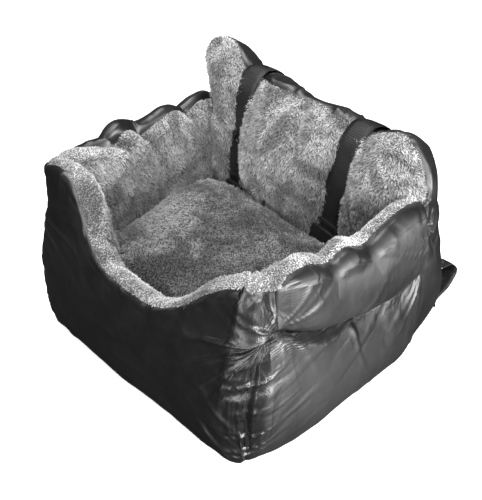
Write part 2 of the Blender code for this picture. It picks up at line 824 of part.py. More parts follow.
def build_buckle(prefix, frame):
    """A side-release buckle: tongue on the strap, housing on a short tab below it."""
    depth = buckle_depth / 2
    tongue = plate(prefix + "_buckle_tongue",
                   [(-buckle_width / 2, part_clearance), (-buckle_width / 2, tongue_collar),
                    (buckle_width / 2, tongue_collar), (buckle_width / 2, part_clearance)],
                   -depth, depth, plastic, frame)
    soften(tongue, edge_softness)
    slot = webbing_width / 2 + slot_clearance
    gap = webbing_thickness / 2 + slot_clearance
    combine(tongue, "DIFFERENCE", (-slot, -gap, tongue_entry - slot_clearance),
            (slot, gap, tongue_collar + cutter_overrun))
    prong_reach = buckle_width / 2 * waisted_share - buckle_wall - part_clearance
    prong = prong_thickness / 2
    for low, high in ((-prong_reach, -prong_reach + prong_width),
                      (prong_reach - prong_width, prong_reach),
                      (-guide_width / 2, guide_width / 2)):
        combine(tongue, "UNION", (low, -prong, -prong_length), (high, prong, part_clearance * 3))
    housing = plate(prefix + "_buckle_housing",
                    housing_outline(buckle_width, -part_clearance, -housing_length),
                    -depth, depth, plastic, frame)
    soften(housing, edge_softness)
    cavity = prong + part_clearance
    inner = prong_reach + part_clearance
    combine(housing, "DIFFERENCE", (-inner, -cavity, -prong_length - buckle_wall),
            (inner, cavity, cutter_overrun))
    channel = webbing_width / 2 + tab_clearance
    channel_floor = depth - tab_thickness - tab_clearance
    combine(housing, "DIFFERENCE", (-channel, channel_floor, -housing_length - cutter_overrun),
            (channel, depth + cutter_overrun, cutter_overrun))


def build_tab(prefix, frame):
    """The short tab that holds the housing, in line with its strap down to the floor crease."""
    y = buckle_depth / 2 - tab_thickness / 2 - part_clearance
    turn = frame.rotation_euler.y
    foot_z = lining_level + part_clearance * 2 + webbing_width / 2 * abs(math.sin(turn))
    reach = (buckle_top_height - foot_z) / math.cos(turn)
    ends = [frame.matrix_world @ Vector((0.0, y, -depth))
            for depth in (housing_length * tab_reach_share, reach)]
    ribbon(prefix + "_anchor_tab", ends, webbing_width, tab_thickness, webbing)


def build_adjuster(prefix, frame):
    """A slide adjuster: side rails, a centre bar in front and two end bars behind the strap."""
    half = webbing_width / 2 + slot_clearance + adjuster_rail
    inner = webbing_width / 2 + slot_clearance
    gap = webbing_thickness / 2 + slot_clearance
    face = gap + adjuster_thickness
    base = adjuster_height - buckle_top_height
    top = base + adjuster_length
    made = plate(prefix + "_slide_adjuster",
                 [(-half, base), (-half, top), (half, top), (half, base)], -face, face,
                 plastic, frame)
    middle = (base + top) / 2
    for low, high in (((-inner, -gap, base - cutter_overrun), (inner, gap, top + cutter_overrun)),
                      ((-inner, -face - cutter_overrun, base - adjuster_bar / 2),
                       (inner, -gap + part_clearance, middle - adjuster_bar / 2)),
                      ((-inner, -face - cutter_overrun, middle + adjuster_bar / 2),
                       (inner, -gap + part_clearance, top + adjuster_bar / 2)),
                      ((-inner, gap - part_clearance, base + adjuster_bar),
                       (inner, face + cutter_overrun, top - adjuster_bar))):
        combine(made, "DIFFERENCE", low, high)


def pocket_grid(side, stand, top_drop, low_share, high_share, gathers):
    """A grid of points over a side wall between two shares of the pocket's height."""
    rims = left_rim_shares if side < 0 else right_rim_shares
    grid = []
    columns = pocket_columns if not gathers else gather_count * 2
    rows = pocket_rows if not gathers else 2
    for i in range(columns + 1):
        share = pocket_front_share + (pocket_rear_share - pocket_front_share) * i / columns
        rim = blend_shares(rims, share) * rim_height
        waist = min(blend_shares(waist_shares, share) * rim_height, rim - 2 * rim_round)
        middle = math.sin(math.pi * i / columns) ** pocket_curve
        fade = min(1.0, (1.0 - share) / waist_fade_share)
        section = wall_section(rim, waist, side_lean, waist_depth * fade)
        outer = [(height, inset) for inset, height in section[:outer_count]]
        row = []
        for j in range(rows + 1):
            rise = low_share + (high_share - low_share) * j / rows
            mouth = waist - top_drop
            height = pocket_foot_height + rise * (mouth - pocket_foot_height)
            if gathers:
                height = waist - elastic_height + elastic_height * j / rows
                rise = 1.0
            inset = straight_shares(outer, height)
            bulge = middle * (pocket_belly_depth * math.sin(math.pi * rise) + pocket_mouth_gap * rise)
            ruffle = gather_depth * (i % 2) if gathers and stand > part_clearance else 0.0
            seat = skin_clearance + (pocket_clearance - skin_clearance) * rise
            out = skin_build + seat + bulge + stand + ruffle
            x = side * (core_half_width - inset + out)
            start_x, start_y = corner_point(inset, inset * front_lean / side_lean, math.pi / 2,
                                            side, mitre_clearance)
            end = bolster_y - lining_build - butt_clearance
            row.append(Vector((x, start_y + share * (end - start_y), height)))
        grid.append(row)
    return grid


def build_pocket(prefix, side):
    """A gathered side pocket with an elastic hem along its mouth."""
    drop = elastic_height + hem_clearance
    slab(prefix + "_pocket_panel", pocket_grid(side, 0.0, drop, 0.0, 1.0, False),
         pocket_grid(side, nylon_thickness, drop, 0.0, 1.0, False), nylon)
    slab(prefix + "_pocket_elastic", pocket_grid(side, 0.0, 0.0, 1.0, 1.0, True),
         pocket_grid(side, elastic_thickness, 0.0, 1.0, 1.0, True), nylon)


def build_belt_loop(prefix, side):
    """A webbing loop sewn to the lower back, standing out for a seat belt."""
    x = side * (core_half_width - loop_inset)
    half = webbing_thickness / 2 + part_clearance * 2
    middle = (loop_top_height + loop_bottom_height) / 2
    reach = loop_projection - webbing_thickness / 2
    table = ((loop_top_height + loop_tail_length, 0.0), (loop_top_height, 0.0),
             (loop_top_height - loop_tail_length * loop_shoulder_share, loop_rise_share),
             (middle + loop_tail_length * loop_flat_share, loop_crown_share), (middle, 1.0),
             (middle - loop_tail_length * loop_flat_share, loop_crown_share),
             (loop_bottom_height + loop_tail_length * loop_shoulder_share, loop_rise_share),
             (loop_bottom_height, 0.0), (loop_bottom_height - loop_tail_length, 0.0))
    path = []
    for height, share in table:
        seat = max(rear_line(x - loop_width / 2), rear_line(x + loop_width / 2)) \
            + back_face(height) + skin_build + half
        path.append(Vector((x, seat + share * (back_face_y + reach - seat), height)))
    ribbon(prefix + "_belt_loop", path, loop_width, webbing_thickness, webbing)


build_base()
build_wall("front", lambda distance, wrap: front_wall_grid(distance))
build_wall("left", lambda distance, wrap: side_wall_grid(-1.0, distance, wrap))
build_wall("right", lambda distance, wrap: side_wall_grid(1.0, distance, wrap))
build_bolster()
build_cushion()
straps = (("left", left_strap_x, left_strap_slope_share, middle_lobe_shares[0][1]),
          ("right", right_strap_x, right_strap_slope_share, right_lobe_shares[0][1]))
for strap_name, place, tilt, height_share in straps:
    axis = buckle_frame(strap_name + "_buckle_axis", place, tilt, height_share * back_height)
    build_strap(strap_name, place, tilt, height_share, axis)
    build_buckle(strap_name, axis)
    build_tab(strap_name, axis)
    build_adjuster(strap_name, axis)
for pocket_name, hand in (("left", -1.0), ("right", 1.0)):
    build_pocket(pocket_name, hand)
    build_belt_loop(pocket_name, hand)
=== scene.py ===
"""Looks of the dog booster seat: puckered nylon panels, plush pile, ribbed webbing, studio light."""

import math

import bpy
import numpy as np
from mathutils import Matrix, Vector


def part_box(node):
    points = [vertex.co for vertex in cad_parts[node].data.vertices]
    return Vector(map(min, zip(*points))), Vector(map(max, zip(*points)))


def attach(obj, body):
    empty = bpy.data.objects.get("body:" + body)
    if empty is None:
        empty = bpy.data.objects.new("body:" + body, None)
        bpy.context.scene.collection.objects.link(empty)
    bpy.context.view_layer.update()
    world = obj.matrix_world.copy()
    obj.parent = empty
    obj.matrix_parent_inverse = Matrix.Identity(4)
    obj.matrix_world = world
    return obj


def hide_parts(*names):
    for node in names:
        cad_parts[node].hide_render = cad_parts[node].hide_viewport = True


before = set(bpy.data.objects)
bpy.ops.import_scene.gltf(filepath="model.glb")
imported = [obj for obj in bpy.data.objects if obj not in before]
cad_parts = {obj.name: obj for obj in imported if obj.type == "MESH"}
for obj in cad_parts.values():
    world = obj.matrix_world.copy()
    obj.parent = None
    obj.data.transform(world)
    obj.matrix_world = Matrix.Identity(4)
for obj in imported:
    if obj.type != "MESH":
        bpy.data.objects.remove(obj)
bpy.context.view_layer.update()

# ---------------------------------------------------------------- sizes of the seat, in metres
half_width = 0.2289
front_y = -0.2299
back_y = 0.1959
bolster_y = 0.1159
floor_z = 0.0861
rim_height = 0.290
back_height = 0.368
rim_round = 0.016
wall = 0.030
foot_z = 0.0012
corner_radius = 0.040
inner_radius = 0.012
rear_radius = 0.026
side_lean, front_lean, back_lean = 0.016, 0.030, 0.010
belly = 0.32 * rim_height
foot_round = 0.012
over_floor = 0.0006
nylon_thickness = 0.0014
plush_thickness = 0.004
webbing_thickness = 0.0016
side_end = 3.05
tufts_per_square_metre = 2.3e5

# Heights as shares of the full height, by place round the wall or across the back.
rim_table = (
    (-3.0, .955), (-2.90, .960), (-2.79, .925), (-2.72, .965), (-2.62, .945), (-2.47, .910),
    (-2.39, .960), (-2.31, .915), (-2.20, .930), (-2.12, .960), (-2.0, .955), (-1.5, .960),
    (-1.0, .965), (-.88, .990), (-.76, .985), (-.66, .940), (-.58, .860), (-.50, .755),
    (-.36, .650), (-.12, .600), (.08, .595), (.26, .605), (.40, .645), (.54, .710), (.66, .785),
    (.80, .870), (1.0, .945), (1.5, .945), (2.0, .945), (2.16, .940), (2.30, .905), (2.36, .875),
    (2.50, .890), (2.60, .850), (2.74, .880), (2.88, .905), (3.0, .900))
waist_table = (
    (2.0, .7103), (2.04, .7103), (2.068, .7103), (2.13, .664), (2.24, .602), (2.38, .55),
    (2.53, .515), (2.66, .50), (2.78, .49), (2.90, .50), (2.97, .535), (3.02, .63), (3.05, .745))


def smooth(low, high, value):
    """An eased step from 0 at low to 1 at high."""
    t = np.clip((value - low) / (high - low), 0.0, 1.0)
    return t * t * (3 - 2 * t)


def bump(middle, width, value):
    """A soft hill of height 1 at middle."""
    return np.exp(-((value - middle) / width) ** 2)


def along_table(table, value):
    """Read a smooth curve through a table of (place, value) rows."""
    places = np.array([row[0] for row in table])
    values = np.array([row[1] for row in table])
    value = np.clip(value, places[0], places[-1])
    k = np.clip(np.searchsorted(places, value, side="right") - 1, 0, len(places) - 2)
    width = places[k + 1] - places[k]
    t = (value - places[k]) / width
    slopes = np.gradient(values, places)
    return ((2 * t ** 3 - 3 * t ** 2 + 1) * values[k] + (t ** 3 - 2 * t ** 2 + t) * width * slopes[k]
            + (3 * t ** 2 - 2 * t ** 3) * values[k + 1] + (t ** 3 - t ** 2) * width * slopes[k + 1])


def soft_noise(points, size, seed):
    """Smooth noise from -1 to 1 over 3-D points, with lumps of the given size."""
    q = np.asarray(points, float) / size + seed * 7.31
    cell = np.floor(q).astype(np.int64)
    f = q - cell
    f = f * f * f * (f * (f * 6 - 15) + 10)

    def lattice(dx, dy, dz):
        n = ((cell[..., 0] + dx) * 73856093) ^ ((cell[..., 1] + dy) * 19349663) \
            ^ ((cell[..., 2] + dz) * 83492791) ^ (seed * 97531)
        n = (n ^ (n >> 13)) * 1274126177 & 0x7FFFFFFF
        return ((n ^ (n >> 15)) & 0xFFFF) / 32767.5 - 1

    rows = []
    for dz in (0, 1):
        low = lattice(0, 0, dz) * (1 - f[..., 0]) + lattice(1, 0, dz) * f[..., 0]
        high = lattice(0, 1, dz) * (1 - f[..., 0]) + lattice(1, 1, dz) * f[..., 0]
        rows.append(low * (1 - f[..., 1]) + high * f[..., 1])
    return rows[0] * (1 - f[..., 2]) + rows[1] * f[..., 2]


def layered_noise(points, size, seed, layers=3):
    """Several sizes of smooth noise added, each half the size and strength of the one before."""
    total = 0
    for k in range(layers):
        total = total + soft_noise(points, size / 2 ** k, seed + 11 * k) / 2 ** k
    return total


# ---------------------------------------------------------------- the tub's surface
def setback(z, lean):
    """How far the outer face stands inside its widest line at a height."""
    tuck = 0.009 * np.clip((belly - z) / belly, 0, None) ** 2
    tuck = tuck + foot_round - np.sqrt(foot_round ** 2 - np.clip(foot_round - z, 0, foot_round) ** 2)
    rise = np.clip((z - belly) / (rim_height - belly), 0, 1)
    return tuck + lean * rise ** 1.3


def wall_point(w, v):
    """A point on the tub. w runs -3 to 3 round the wall from the left end of the bolster by way
    of the front (-1 to 1) and its corners; v climbs the outside (0-1), goes over the rim (1-2)
    and down the inside (2-3)."""
    w, v = np.broadcast_arrays(np.asarray(w, float), np.asarray(v, float))
    a = np.abs(w)
    turn = np.clip(a - 1, 0, 1) * math.pi / 2
    along = np.clip(a - 2, 0, None)
    rim = along_table(rim_table, w) * rim_height
    crown = rim - rim_round
    span = np.clip(v, 0, 1)
    arch = np.clip(v - 1, 0, 1) * math.pi
    inside = np.clip(v - 2, 0, 1)
    z = foot_z + span * (crown - foot_z)
    z = np.where(v > 1, crown + rim_round * np.sin(arch), z)
    z = np.where(v > 2, crown + inside * (floor_z - crown), z)

    def inset(lean):
        top = setback(crown, lean)
        value = setback(np.minimum(z, crown), lean)
        value = np.where(v > 1, top + wall * (1 - np.cos(arch)) / 2, value)
        return np.where(v > 2, top + wall + (lean - top) * np.sin(inside * math.pi / 2), value)

    inset_x, inset_y = inset(side_lean), inset(front_lean)
    radius = np.maximum(corner_radius - (inset_x + inset_y) / 2, inner_radius)
    centre_x = half_width - inset_x - radius
    centre_y = front_y + inset_y + radius
    x = np.where(a < 1, centre_x * a, centre_x + radius * np.sin(turn))
    slack = bump(-1.5, 0.50, w) * (bump(0.232, 0.032, z) + 0.35 * bump(0.165, 0.045, z))
    x = x - 0.018 * slack
    y = centre_y - radius * np.cos(turn) + 0.010 * slack
    y = y + along * (bolster_y - y)
    return np.stack([x * np.sign(w), y, z], -1)


def through_points(points, places):
    """A smooth curve through rows of control points, read at places counted in points."""
    last = points.shape[1] - 1
    row = np.arange(len(points))[:, None]
    places = np.atleast_2d(places)
    k = np.clip(np.floor(places).astype(int), 0, last - 1)
    t = (places - k)[..., None]
    p0, p1 = points[row, np.maximum(k - 1, 0)], points[row, k]
    p2, p3 = points[row, k + 1], points[row, np.minimum(k + 2, last)]
    return 0.5 * (2 * p1 + (p2 - p0) * t + (2 * p0 - 5 * p1 + 4 * p2 - p3) * t ** 2
                  + (3 * p1 - p0 - 3 * p2 + p3) * t ** 3)


def normals_of(grid):
    """Unit normals of a grid of points."""
    across = np.gradient(grid, axis=0)
    up = np.gradient(grid, axis=1)
    normal = np.cross(across, up)
    return normal / np.maximum(np.linalg.norm(normal, axis=-1, keepdims=True), 1e-12)


def lengths_along(grid, axis):
    """Distance walked along the rows or columns of a grid."""
    step = np.linalg.norm(np.diff(grid, axis=axis), axis=-1)
    pad = [(0, 0), (0, 0)]
    pad[axis] = (1, 0)
    return np.pad(np.cumsum(step, axis=axis), pad)


def lifted(grid, lift):
    """A grid moved out along its own normals."""
    return grid + normals_of(grid) * lift[..., None]


def on_floor(grid):
    """The same grid with nothing under the floor."""
    return np.concatenate([grid[..., :2], np.maximum(grid[..., 2:], over_floor)], -1)


# ---------------------------------------------------------------- meshes
def linked(name, data):
    """An object in the scene for some mesh, lamp or camera data."""
    made = bpy.data.objects.new(name, data)
    bpy.context.scene.collection.objects.link(made)
    return made


def make_piece(name, points, faces, material):
    """A smooth mesh object at the origin."""
    mesh = bpy.data.meshes.new(name)
    mesh.from_pydata([tuple(p) for p in points], [], faces)
    if material:
        mesh.materials.append(material)
    mesh.shade_smooth()
    mesh.update()
    return linked(name, mesh)


def quads(rows, columns, ring=False):
    """Faces of a grid, counter-clockwise as the grid's first axis goes across to the right. A
    ring joins the last column to the first."""
    faces = []
    for i in range(0, (rows - 1) * columns, columns):
        for j in range(columns if ring else columns - 1):
            k = (j + 1) % columns
            faces.append((i + j, i + columns + j, i + columns + k, i + k))
    return faces


def turned_over(faces):
    """The same faces seen from the other side."""
    return [face[:1] + face[:0:-1] for face in faces]


def grid_uv(piece, across, up):
    """A UV map in metres from two grids of walked lengths."""
    layer = piece.data.uv_layers.new(name="run")
    index = np.zeros(len(piece.data.loops), int)
    piece.data.loops.foreach_get("vertex_index", index)
    flat = np.stack([across.reshape(-1), up.reshape(-1)], -1)
    layer.data.foreach_set("uv", flat[index].reshape(-1))


def refine(grid, times):
    """The same surface with each cell divided, through a smooth curve both ways."""
    for _ in (0, 1):
        grid = grid.swapaxes(0, 1)
        last = grid.shape[1] - 1
        grid = through_points(grid, np.linspace(0, last, last * times + 1))
    return grid


def panel_of(name, grid, material, step=4):
    """A closed cloth panel: fine outside, and a plain lining of every fourth point under it."""
    n, m = grid.shape[:2]
    assert (n - 1) % step == 0 and (m - 1) % step == 0, (name, n, m)
    under = (grid - normals_of(grid) * nylon_thickness)[::step, ::step]
    p, q = under.shape[:2]
    first = n * m
    faces = quads(n, m) + [tuple(first + k for k in reversed(f)) for f in quads(p, q)]

    def rim(outer, inner, forward):
        faces.append(tuple(outer + inner[::-1] if forward else outer[::-1] + inner))

    for i in range(p - 1):
        for row, inner in ((0, 0), (m - 1, q - 1)):
            rim([(i * step + k) * m + row for k in range(step + 1)],
                [first + i * q + inner, first + (i + 1) * q + inner], row > 0)
    for j in range(q - 1):
        for row, inner in ((0, 0), (n - 1, p - 1)):
            rim([row * m + j * step + k for k in range(step + 1)],
                [first + inner * q + j, first + inner * q + j + 1], row == 0)
    points = np.concatenate([grid.reshape(-1, 3), under.reshape(-1, 3)])
    piece = make_piece(name, points, faces, material)
    grid_uv(piece, *(np.concatenate([run.reshape(-1), run[::step, ::step].reshape(-1)])
                     for run in (lengths_along(grid, 0), lengths_along(grid, 1))))
    return piece


def held_edges(grid, top=True):
    """Which points of a panel its seams hold: 1 along its foot, its ends and, if sewn, its top."""
    held = np.zeros(grid.shape[:2])
    held[:, 0] = held[0] = held[-1] = 1.0
    if top:
        held[:, -1] = 1.0
    return held


def settle(grid, held, spare, pressure=3.0):
    """Let a panel settle as cloth: held where held is 1, with spare cloth where spare is 1,
    pressed out by its filling. A point moves no further than reach."""
    frames, most_spare, reach = 22, 0.12, 0.003
    n, m = grid.shape[:2]
    piece = make_piece("settling", grid.reshape(-1, 3), quads(n, m), None)
    for label, values in (("held", held), ("spare", spare)):
        group = piece.vertex_groups.new(name=label)
        values = np.broadcast_to(values, (n, m)).reshape(-1).round(2)
        for level in np.unique(values):
            group.add([int(k) for k in np.nonzero(values == level)[0]], float(level), "REPLACE")
    cloth = piece.modifiers.new("cloth", "CLOTH")
    rules = cloth.settings
    rules.quality = 6
    rules.mass = 0.12
    rules.air_damping = 2.0
    rules.tension_stiffness = rules.compression_stiffness = 18.0
    rules.shear_stiffness = 8.0
    rules.bending_stiffness = 0.05
    rules.vertex_group_mass = "held"
    rules.vertex_group_shrink = "spare"
    rules.shrink_min = 0.0
    rules.shrink_max = -most_spare
    rules.use_pressure = True
    rules.uniform_pressure_force = pressure
    rules.effector_weights.gravity = 0.0
    cloth.collision_settings.use_collision = False
    cloth.point_cache.frame_end = frames
    for k in range(1, frames + 1):
        bpy.context.scene.frame_set(k)
    solved = piece.evaluated_get(bpy.context.evaluated_depsgraph_get()).data
    moved = np.zeros(n * m * 3)
    solved.vertices.foreach_get("co", moved)
    bpy.data.objects.remove(piece)
    bpy.context.scene.frame_set(1)
    shift = moved.reshape(n, m, 3) - grid
    size = np.linalg.norm(shift, axis=-1, keepdims=True)
    return grid + shift * np.tanh(size / reach) * reach / np.maximum(size, 1e-9)


def apply_modifiers(piece):
    """Turn a piece with its modifiers into a plain mesh."""
    graph = bpy.context.evaluated_depsgraph_get()
    made = bpy.data.meshes.new_from_object(piece.evaluated_get(graph))
    old = piece.data
    piece.modifiers.clear()
    piece.data = made
    made.name = old.name + "_made"
    bpy.data.meshes.remove(old)


def set_points_attribute(piece, name, kind, values):
    """Store a value for each point of a mesh."""
    attribute = piece.data.attributes.new(name, kind, "POINT")
    key = "vector" if kind == "FLOAT_VECTOR" else "value"
    attribute.data.foreach_set(key, np.asarray(values, float).reshape(-1))


# ---------------------------------------------------------------- materials
def shader_group(name, inputs, outputs):
    """An empty shader group with named sockets and its two end nodes."""
    group = bpy.data.node_groups.new(name, "ShaderNodeTree")
    for label, kind, value in inputs:
        socket = group.interface.new_socket(label, in_out="INPUT", socket_type=kind)
        if value is not None:
            socket.default_value = value
    for label, kind in outputs:
        group.interface.new_socket(label, in_out="OUTPUT", socket_type=kind)
    return group, group.nodes.new("NodeGroupInput"), group.nodes.new("NodeGroupOutput")


def joined(tree, kind, settings, *feeds):
    """Add a node, set its properties and feed its inputs in (input, source or value) pairs."""
    node = tree.nodes.new(kind)
    for key, value in settings.items():
        setattr(node, key, value)
    for target, source in feeds:
        if isinstance(source, bpy.types.NodeSocket):
            tree.links.new(source, node.inputs[target])
        else:
            node.inputs[target].default_value = source
    return node


def fed(tree, kind, settings, *feeds):
    """The first output of a node that is joined in."""
    return joined(tree, kind, settings, *feeds).outputs[0]


def maths(tree, operation, *values):
    """One or two values or sockets put through a sum."""
    return fed(tree, "ShaderNodeMath", {"operation": operation}, *enumerate(values))


def object_noise(tree, scale, *feeds):
    """Noise over the piece's own coordinates."""
    body = joined(tree, "ShaderNodeTexCoord", {})
    return fed(tree, "ShaderNodeTexNoise", {}, ("Vector", body.outputs["Object"]),
               ("Scale", scale), *feeds)


FLOAT, VECTOR = "NodeSocketFloat", "NodeSocketVector"


def weave_group():
    """Plain weave: threads over and under each other, and crumples. Gives a bumped normal."""
    group, start, end = shader_group(
        "plain_weave",
        (("Threads per metre", FLOAT, 1800.0), ("Relief", FLOAT, 0.2), ("Crumple", FLOAT, 0.2)),
        (("Normal", VECTOR), ("Wear", FLOAT)))
    place = fed(group, "ShaderNodeUVMap", {"uv_map": "run"})
    split = joined(group, "ShaderNodeSeparateXYZ", {}, (0, place))
    waves = [maths(group, "SINE", maths(group, "MULTIPLY", split.outputs[axis],
                                        start.outputs["Threads per metre"])) for axis in (0, 1)]
    both = maths(group, "MULTIPLY", *waves)
    crumple = object_noise(group, 24.0, ("Detail", 3.0), ("Roughness", 0.5), ("Distortion", 0.7))
    fine = fed(group, "ShaderNodeBump", {}, ("Strength", start.outputs["Relief"]),
               ("Distance", 0.0002), ("Height", both))
    soft = fed(group, "ShaderNodeBump", {}, ("Strength", start.outputs["Crumple"]),
               ("Distance", 0.0050), ("Height", crumple), ("Normal", fine))
    group.links.new(soft, end.inputs["Normal"])
    group.links.new(crumple, end.inputs["Wear"])
    return group


def mottle_group():
    """Patches over the cloth, where the pile was brushed or the dye took unevenly."""
    group, start, end = shader_group(
        "brushed_patches",
        (("Patch scale", FLOAT, 30.0), ("Low", FLOAT, 0.38), ("High", FLOAT, 0.62)),
        (("Mask", FLOAT),))
    noise = object_noise(group, start.outputs["Patch scale"], ("Detail", 4.0), ("Roughness", 0.6),
                         ("Distortion", 0.8))
    spread = fed(group, "ShaderNodeMapRange", {"interpolation_type": "SMOOTHSTEP"},
                 ("Value", noise), ("From Min", start.outputs["Low"]),
                 ("From Max", start.outputs["High"]))
    group.links.new(spread, end.inputs["Mask"])
    return group


weave = weave_group()
mottle = mottle_group()


def plain_material(name, grey, roughness, sheen=0.0, specular=0.5):
    """A material with its Principled shader, ready for nodes."""
    made = bpy.data.materials.new(name)
    made.use_nodes = True
    shader = made.node_tree.nodes["Principled BSDF"]
    shader.inputs["Base Color"].default_value = (grey, grey, grey, 1.0)
    shader.inputs["Roughness"].default_value = roughness
    shader.inputs["Specular IOR Level"].default_value = specular
    shader.inputs["Sheen Weight"].default_value = sheen
    shader.inputs["Sheen Roughness"].default_value = 0.4
    return made, shader, made.node_tree


def mix_colours(tree, factor, dark, light, blend="MIX"):
    """Mix two colours by a factor. Each colour is a grey, three values or a socket."""
    node = tree.nodes.new("ShaderNodeMix")
    node.data_type = "RGBA"
    node.blend_type = blend
    for target, source in ((0, factor), (6, dark), (7, light)):
        if isinstance(source, bpy.types.NodeSocket):
            tree.links.new(source, node.inputs[target])
        elif target == 0:
            node.inputs[target].default_value = source
        else:
            node.inputs[target].default_value = (*np.broadcast_to(source, 3), 1.0)
    return node.outputs[2]


def patches(tree, scale):
    """The mask of the brushed patches at a scale."""
    return fed(tree, "ShaderNodeGroup", {"node_tree": mottle}, ("Patch scale", scale))


def finish_nodes(tree, shader, colour, normal):
    """Join a colour and a normal to a material's shader."""
    tree.links.new(colour, shader.inputs["Base Color"])
    tree.links.new(normal, shader.inputs["Normal"])


def nylon_material(name, dark, light, crumple):
    """Woven nylon with a soft shine that breaks up over its crumples."""
    made, shader, tree = plain_material(name, dark[0], 0.40, specular=0.60)
    shader.inputs["Anisotropic"].default_value = 0.6
    shader.inputs["Anisotropic Rotation"].default_value = 0.25
    yarn = fed(tree, "ShaderNodeTangent", {"direction_type": "UV_MAP", "uv_map": "run"})
    tree.links.new(yarn, shader.inputs["Tangent"])
    cloth = joined(tree, "ShaderNodeGroup", {"node_tree": weave}, ("Crumple", crumple))
    shine = fed(tree, "ShaderNodeMapRange", {}, ("Value", cloth.outputs["Wear"]),
                ("To Min", 0.35), ("To Max", 0.46))
    tree.links.new(shine, shader.inputs["Roughness"])
    finish_nodes(tree, shader, mix_colours(tree, patches(tree, 14.0), dark, light),
                 cloth.outputs["Normal"])
    return made


def pile_material(name, shaded_root, tip, patch_scale, patch_dark):
    """Plush: painted shade darkens it between the tufts and down to their roots, lighter to their
    tips, in brushed patches.
    """
    made, shader, tree = plain_material(name, tip, 0.92, sheen=0.35, specular=0.25)
    height, tone = (joined(tree, "ShaderNodeAttribute", {"attribute_name": label}).outputs["Fac"]
                    for label in ("tip", "tone"))
    # Painted shade: colour runs dark at the tuft roots and on the bare base sheet, standing in for
    # shade deep in the pile.
    tuft = mix_colours(tree, maths(tree, "POWER", height, 0.8), shaded_root, tip)
    brushed = mix_colours(tree, patches(tree, patch_scale), patch_dark, 1.0)
    shade = mix_colours(tree, 1.0, tuft, brushed, "MULTIPLY")
    spread = fed(tree, "ShaderNodeMapRange", {}, ("Value", tone), ("To Min", 0.60), ("To Max", 1.30))
    final = mix_colours(tree, 1.0, shade, spread, "MULTIPLY")
    tree.links.new(final, shader.inputs["Base Color"])
    return made


def webbing_material():
    """Ribbed webbing: black yarn with a slight sheen."""
    made, shader, tree = plain_material("ribbed_webbing", 0.010, 0.45, specular=0.35)
    cloth = joined(tree, "ShaderNodeGroup", {"node_tree": weave}, ("Threads per metre", 5200.0),
                   ("Relief", 0.5), ("Crumple", 0.1))
    finish_nodes(tree, shader, mix_colours(tree, patches(tree, 60.0), 0.004, 0.008),
                 cloth.outputs["Normal"])
    return made


def plastic_material():
    """Moulded acetal: satin, with a fine spark-eroded grain."""
    made, shader, tree = plain_material("moulded_plastic", 0.012, 0.42)
    grain = object_noise(tree, 1600.0, ("Detail", 2.0))
    bumps = fed(tree, "ShaderNodeBump", {}, ("Strength", 0.25), ("Distance", 0.0001),
                ("Height", grain))
    finish_nodes(tree, shader, mix_colours(tree, patches(tree, 90.0), 0.010, 0.016), bumps)
    return made


def grip_material():
    """Coarse non-slip cloth with a raised grid of dots."""
    made, shader, tree = plain_material("grip_cloth", 0.03, 0.8)
    body = joined(tree, "ShaderNodeTexCoord", {})
    dots = joined(tree, "ShaderNodeTexVoronoi", {"feature": "F1", "distance": "EUCLIDEAN"},
                  ("Vector", body.outputs["Object"]), ("Scale", 180.0), ("Randomness", 0.05))
    bumps = fed(tree, "ShaderNodeBump", {"invert": True}, ("Strength", 0.7), ("Distance", 0.0008),
                ("Height", dots.outputs["Distance"]))
    finish_nodes(tree, shader, mix_colours(tree, dots.outputs["Distance"], 0.05, 0.02), bumps)
    return made


black_nylon = nylon_material("black_nylon", (0.0035, 0.0035, 0.0036), (0.006, 0.006, 0.0062), 0.12)
pocket_nylon = nylon_material("pocket_nylon", (0.0035, 0.0035, 0.0036), (0.0065, 0.0065, 0.0067), 0.14)
grey_plush = pile_material("grey_plush", 0.13, 0.66, 22.0, 0.40)
# Painted shade: the cushion's plush is the grey plush made darker, for the shade it lies in low in the
# tub.
cushion_plush = pile_material("cushion_plush", 0.05, 0.35, 15.0, 0.36)
webbing_black = webbing_material()
plastic_black = plastic_material()
grip_black = grip_material()
sewing_thread = plain_material("sewing_thread", 0.02, 0.5)[0]


# ---------------------------------------------------------------- pile
def node_tree(name, inputs):
    """A geometry tree with named inputs, its start and its end."""
    tree = bpy.data.node_groups.new(name, "GeometryNodeTree")
    tree.interface.new_socket("Geometry", in_out="INPUT", socket_type="NodeSocketGeometry")
    for label, kind, value in inputs:
        socket = tree.interface.new_socket(label, in_out="INPUT", socket_type=kind)
        if value is not None:
            socket.default_value = value
    tree.interface.new_socket("Geometry", in_out="OUTPUT", socket_type="NodeSocketGeometry")
    return tree, tree.nodes.new("NodeGroupInput"), tree.nodes.new("NodeGroupOutput")


def vector_sum(tree, *vectors):
    """Vectors added one after the other."""
    total = vectors[0]
    for vector in vectors[1:]:
        total = fed(tree, "ShaderNodeVectorMath", {"operation": "ADD"}, (0, total), (1, vector))
    return total


def scaled(tree, vector, factor):
    """A vector made longer by a factor."""
    return fed(tree, "ShaderNodeVectorMath", {"operation": "SCALE"}, (0, vector), ("Scale", factor))


def random_value(tree, low, high, seed):
    """A random number between two values."""
    return joined(tree, "FunctionNodeRandomValue", {"data_type": "FLOAT"}, (2, low), (3, high),
                  ("Seed", seed)).outputs[1]


def named(tree, label, kind):
    """A value that the surface carries under a name."""
    return fed(tree, "GeometryNodeInputNamedAttribute", {"data_type": kind}, ("Name", label))


def stored(tree, geometry, domain, label, value):
    """A geometry with a value stored under a name."""
    return fed(tree, "GeometryNodeStoreNamedAttribute", {"data_type": "FLOAT", "domain": domain},
               ("Geometry", geometry), ("Name", label), ("Value", value))


def planted(tree, spots, shape, way, *feeds):
    """A shape on every spot, standing along a direction, made real and smooth."""
    turn = fed(tree, "FunctionNodeAlignRotationToVector", {"axis": "Z"}, ("Vector", way))
    return fed(tree, "GeometryNodeInstanceOnPoints", {}, ("Points", spots), ("Instance", shape),
               ("Rotation", turn), *feeds)


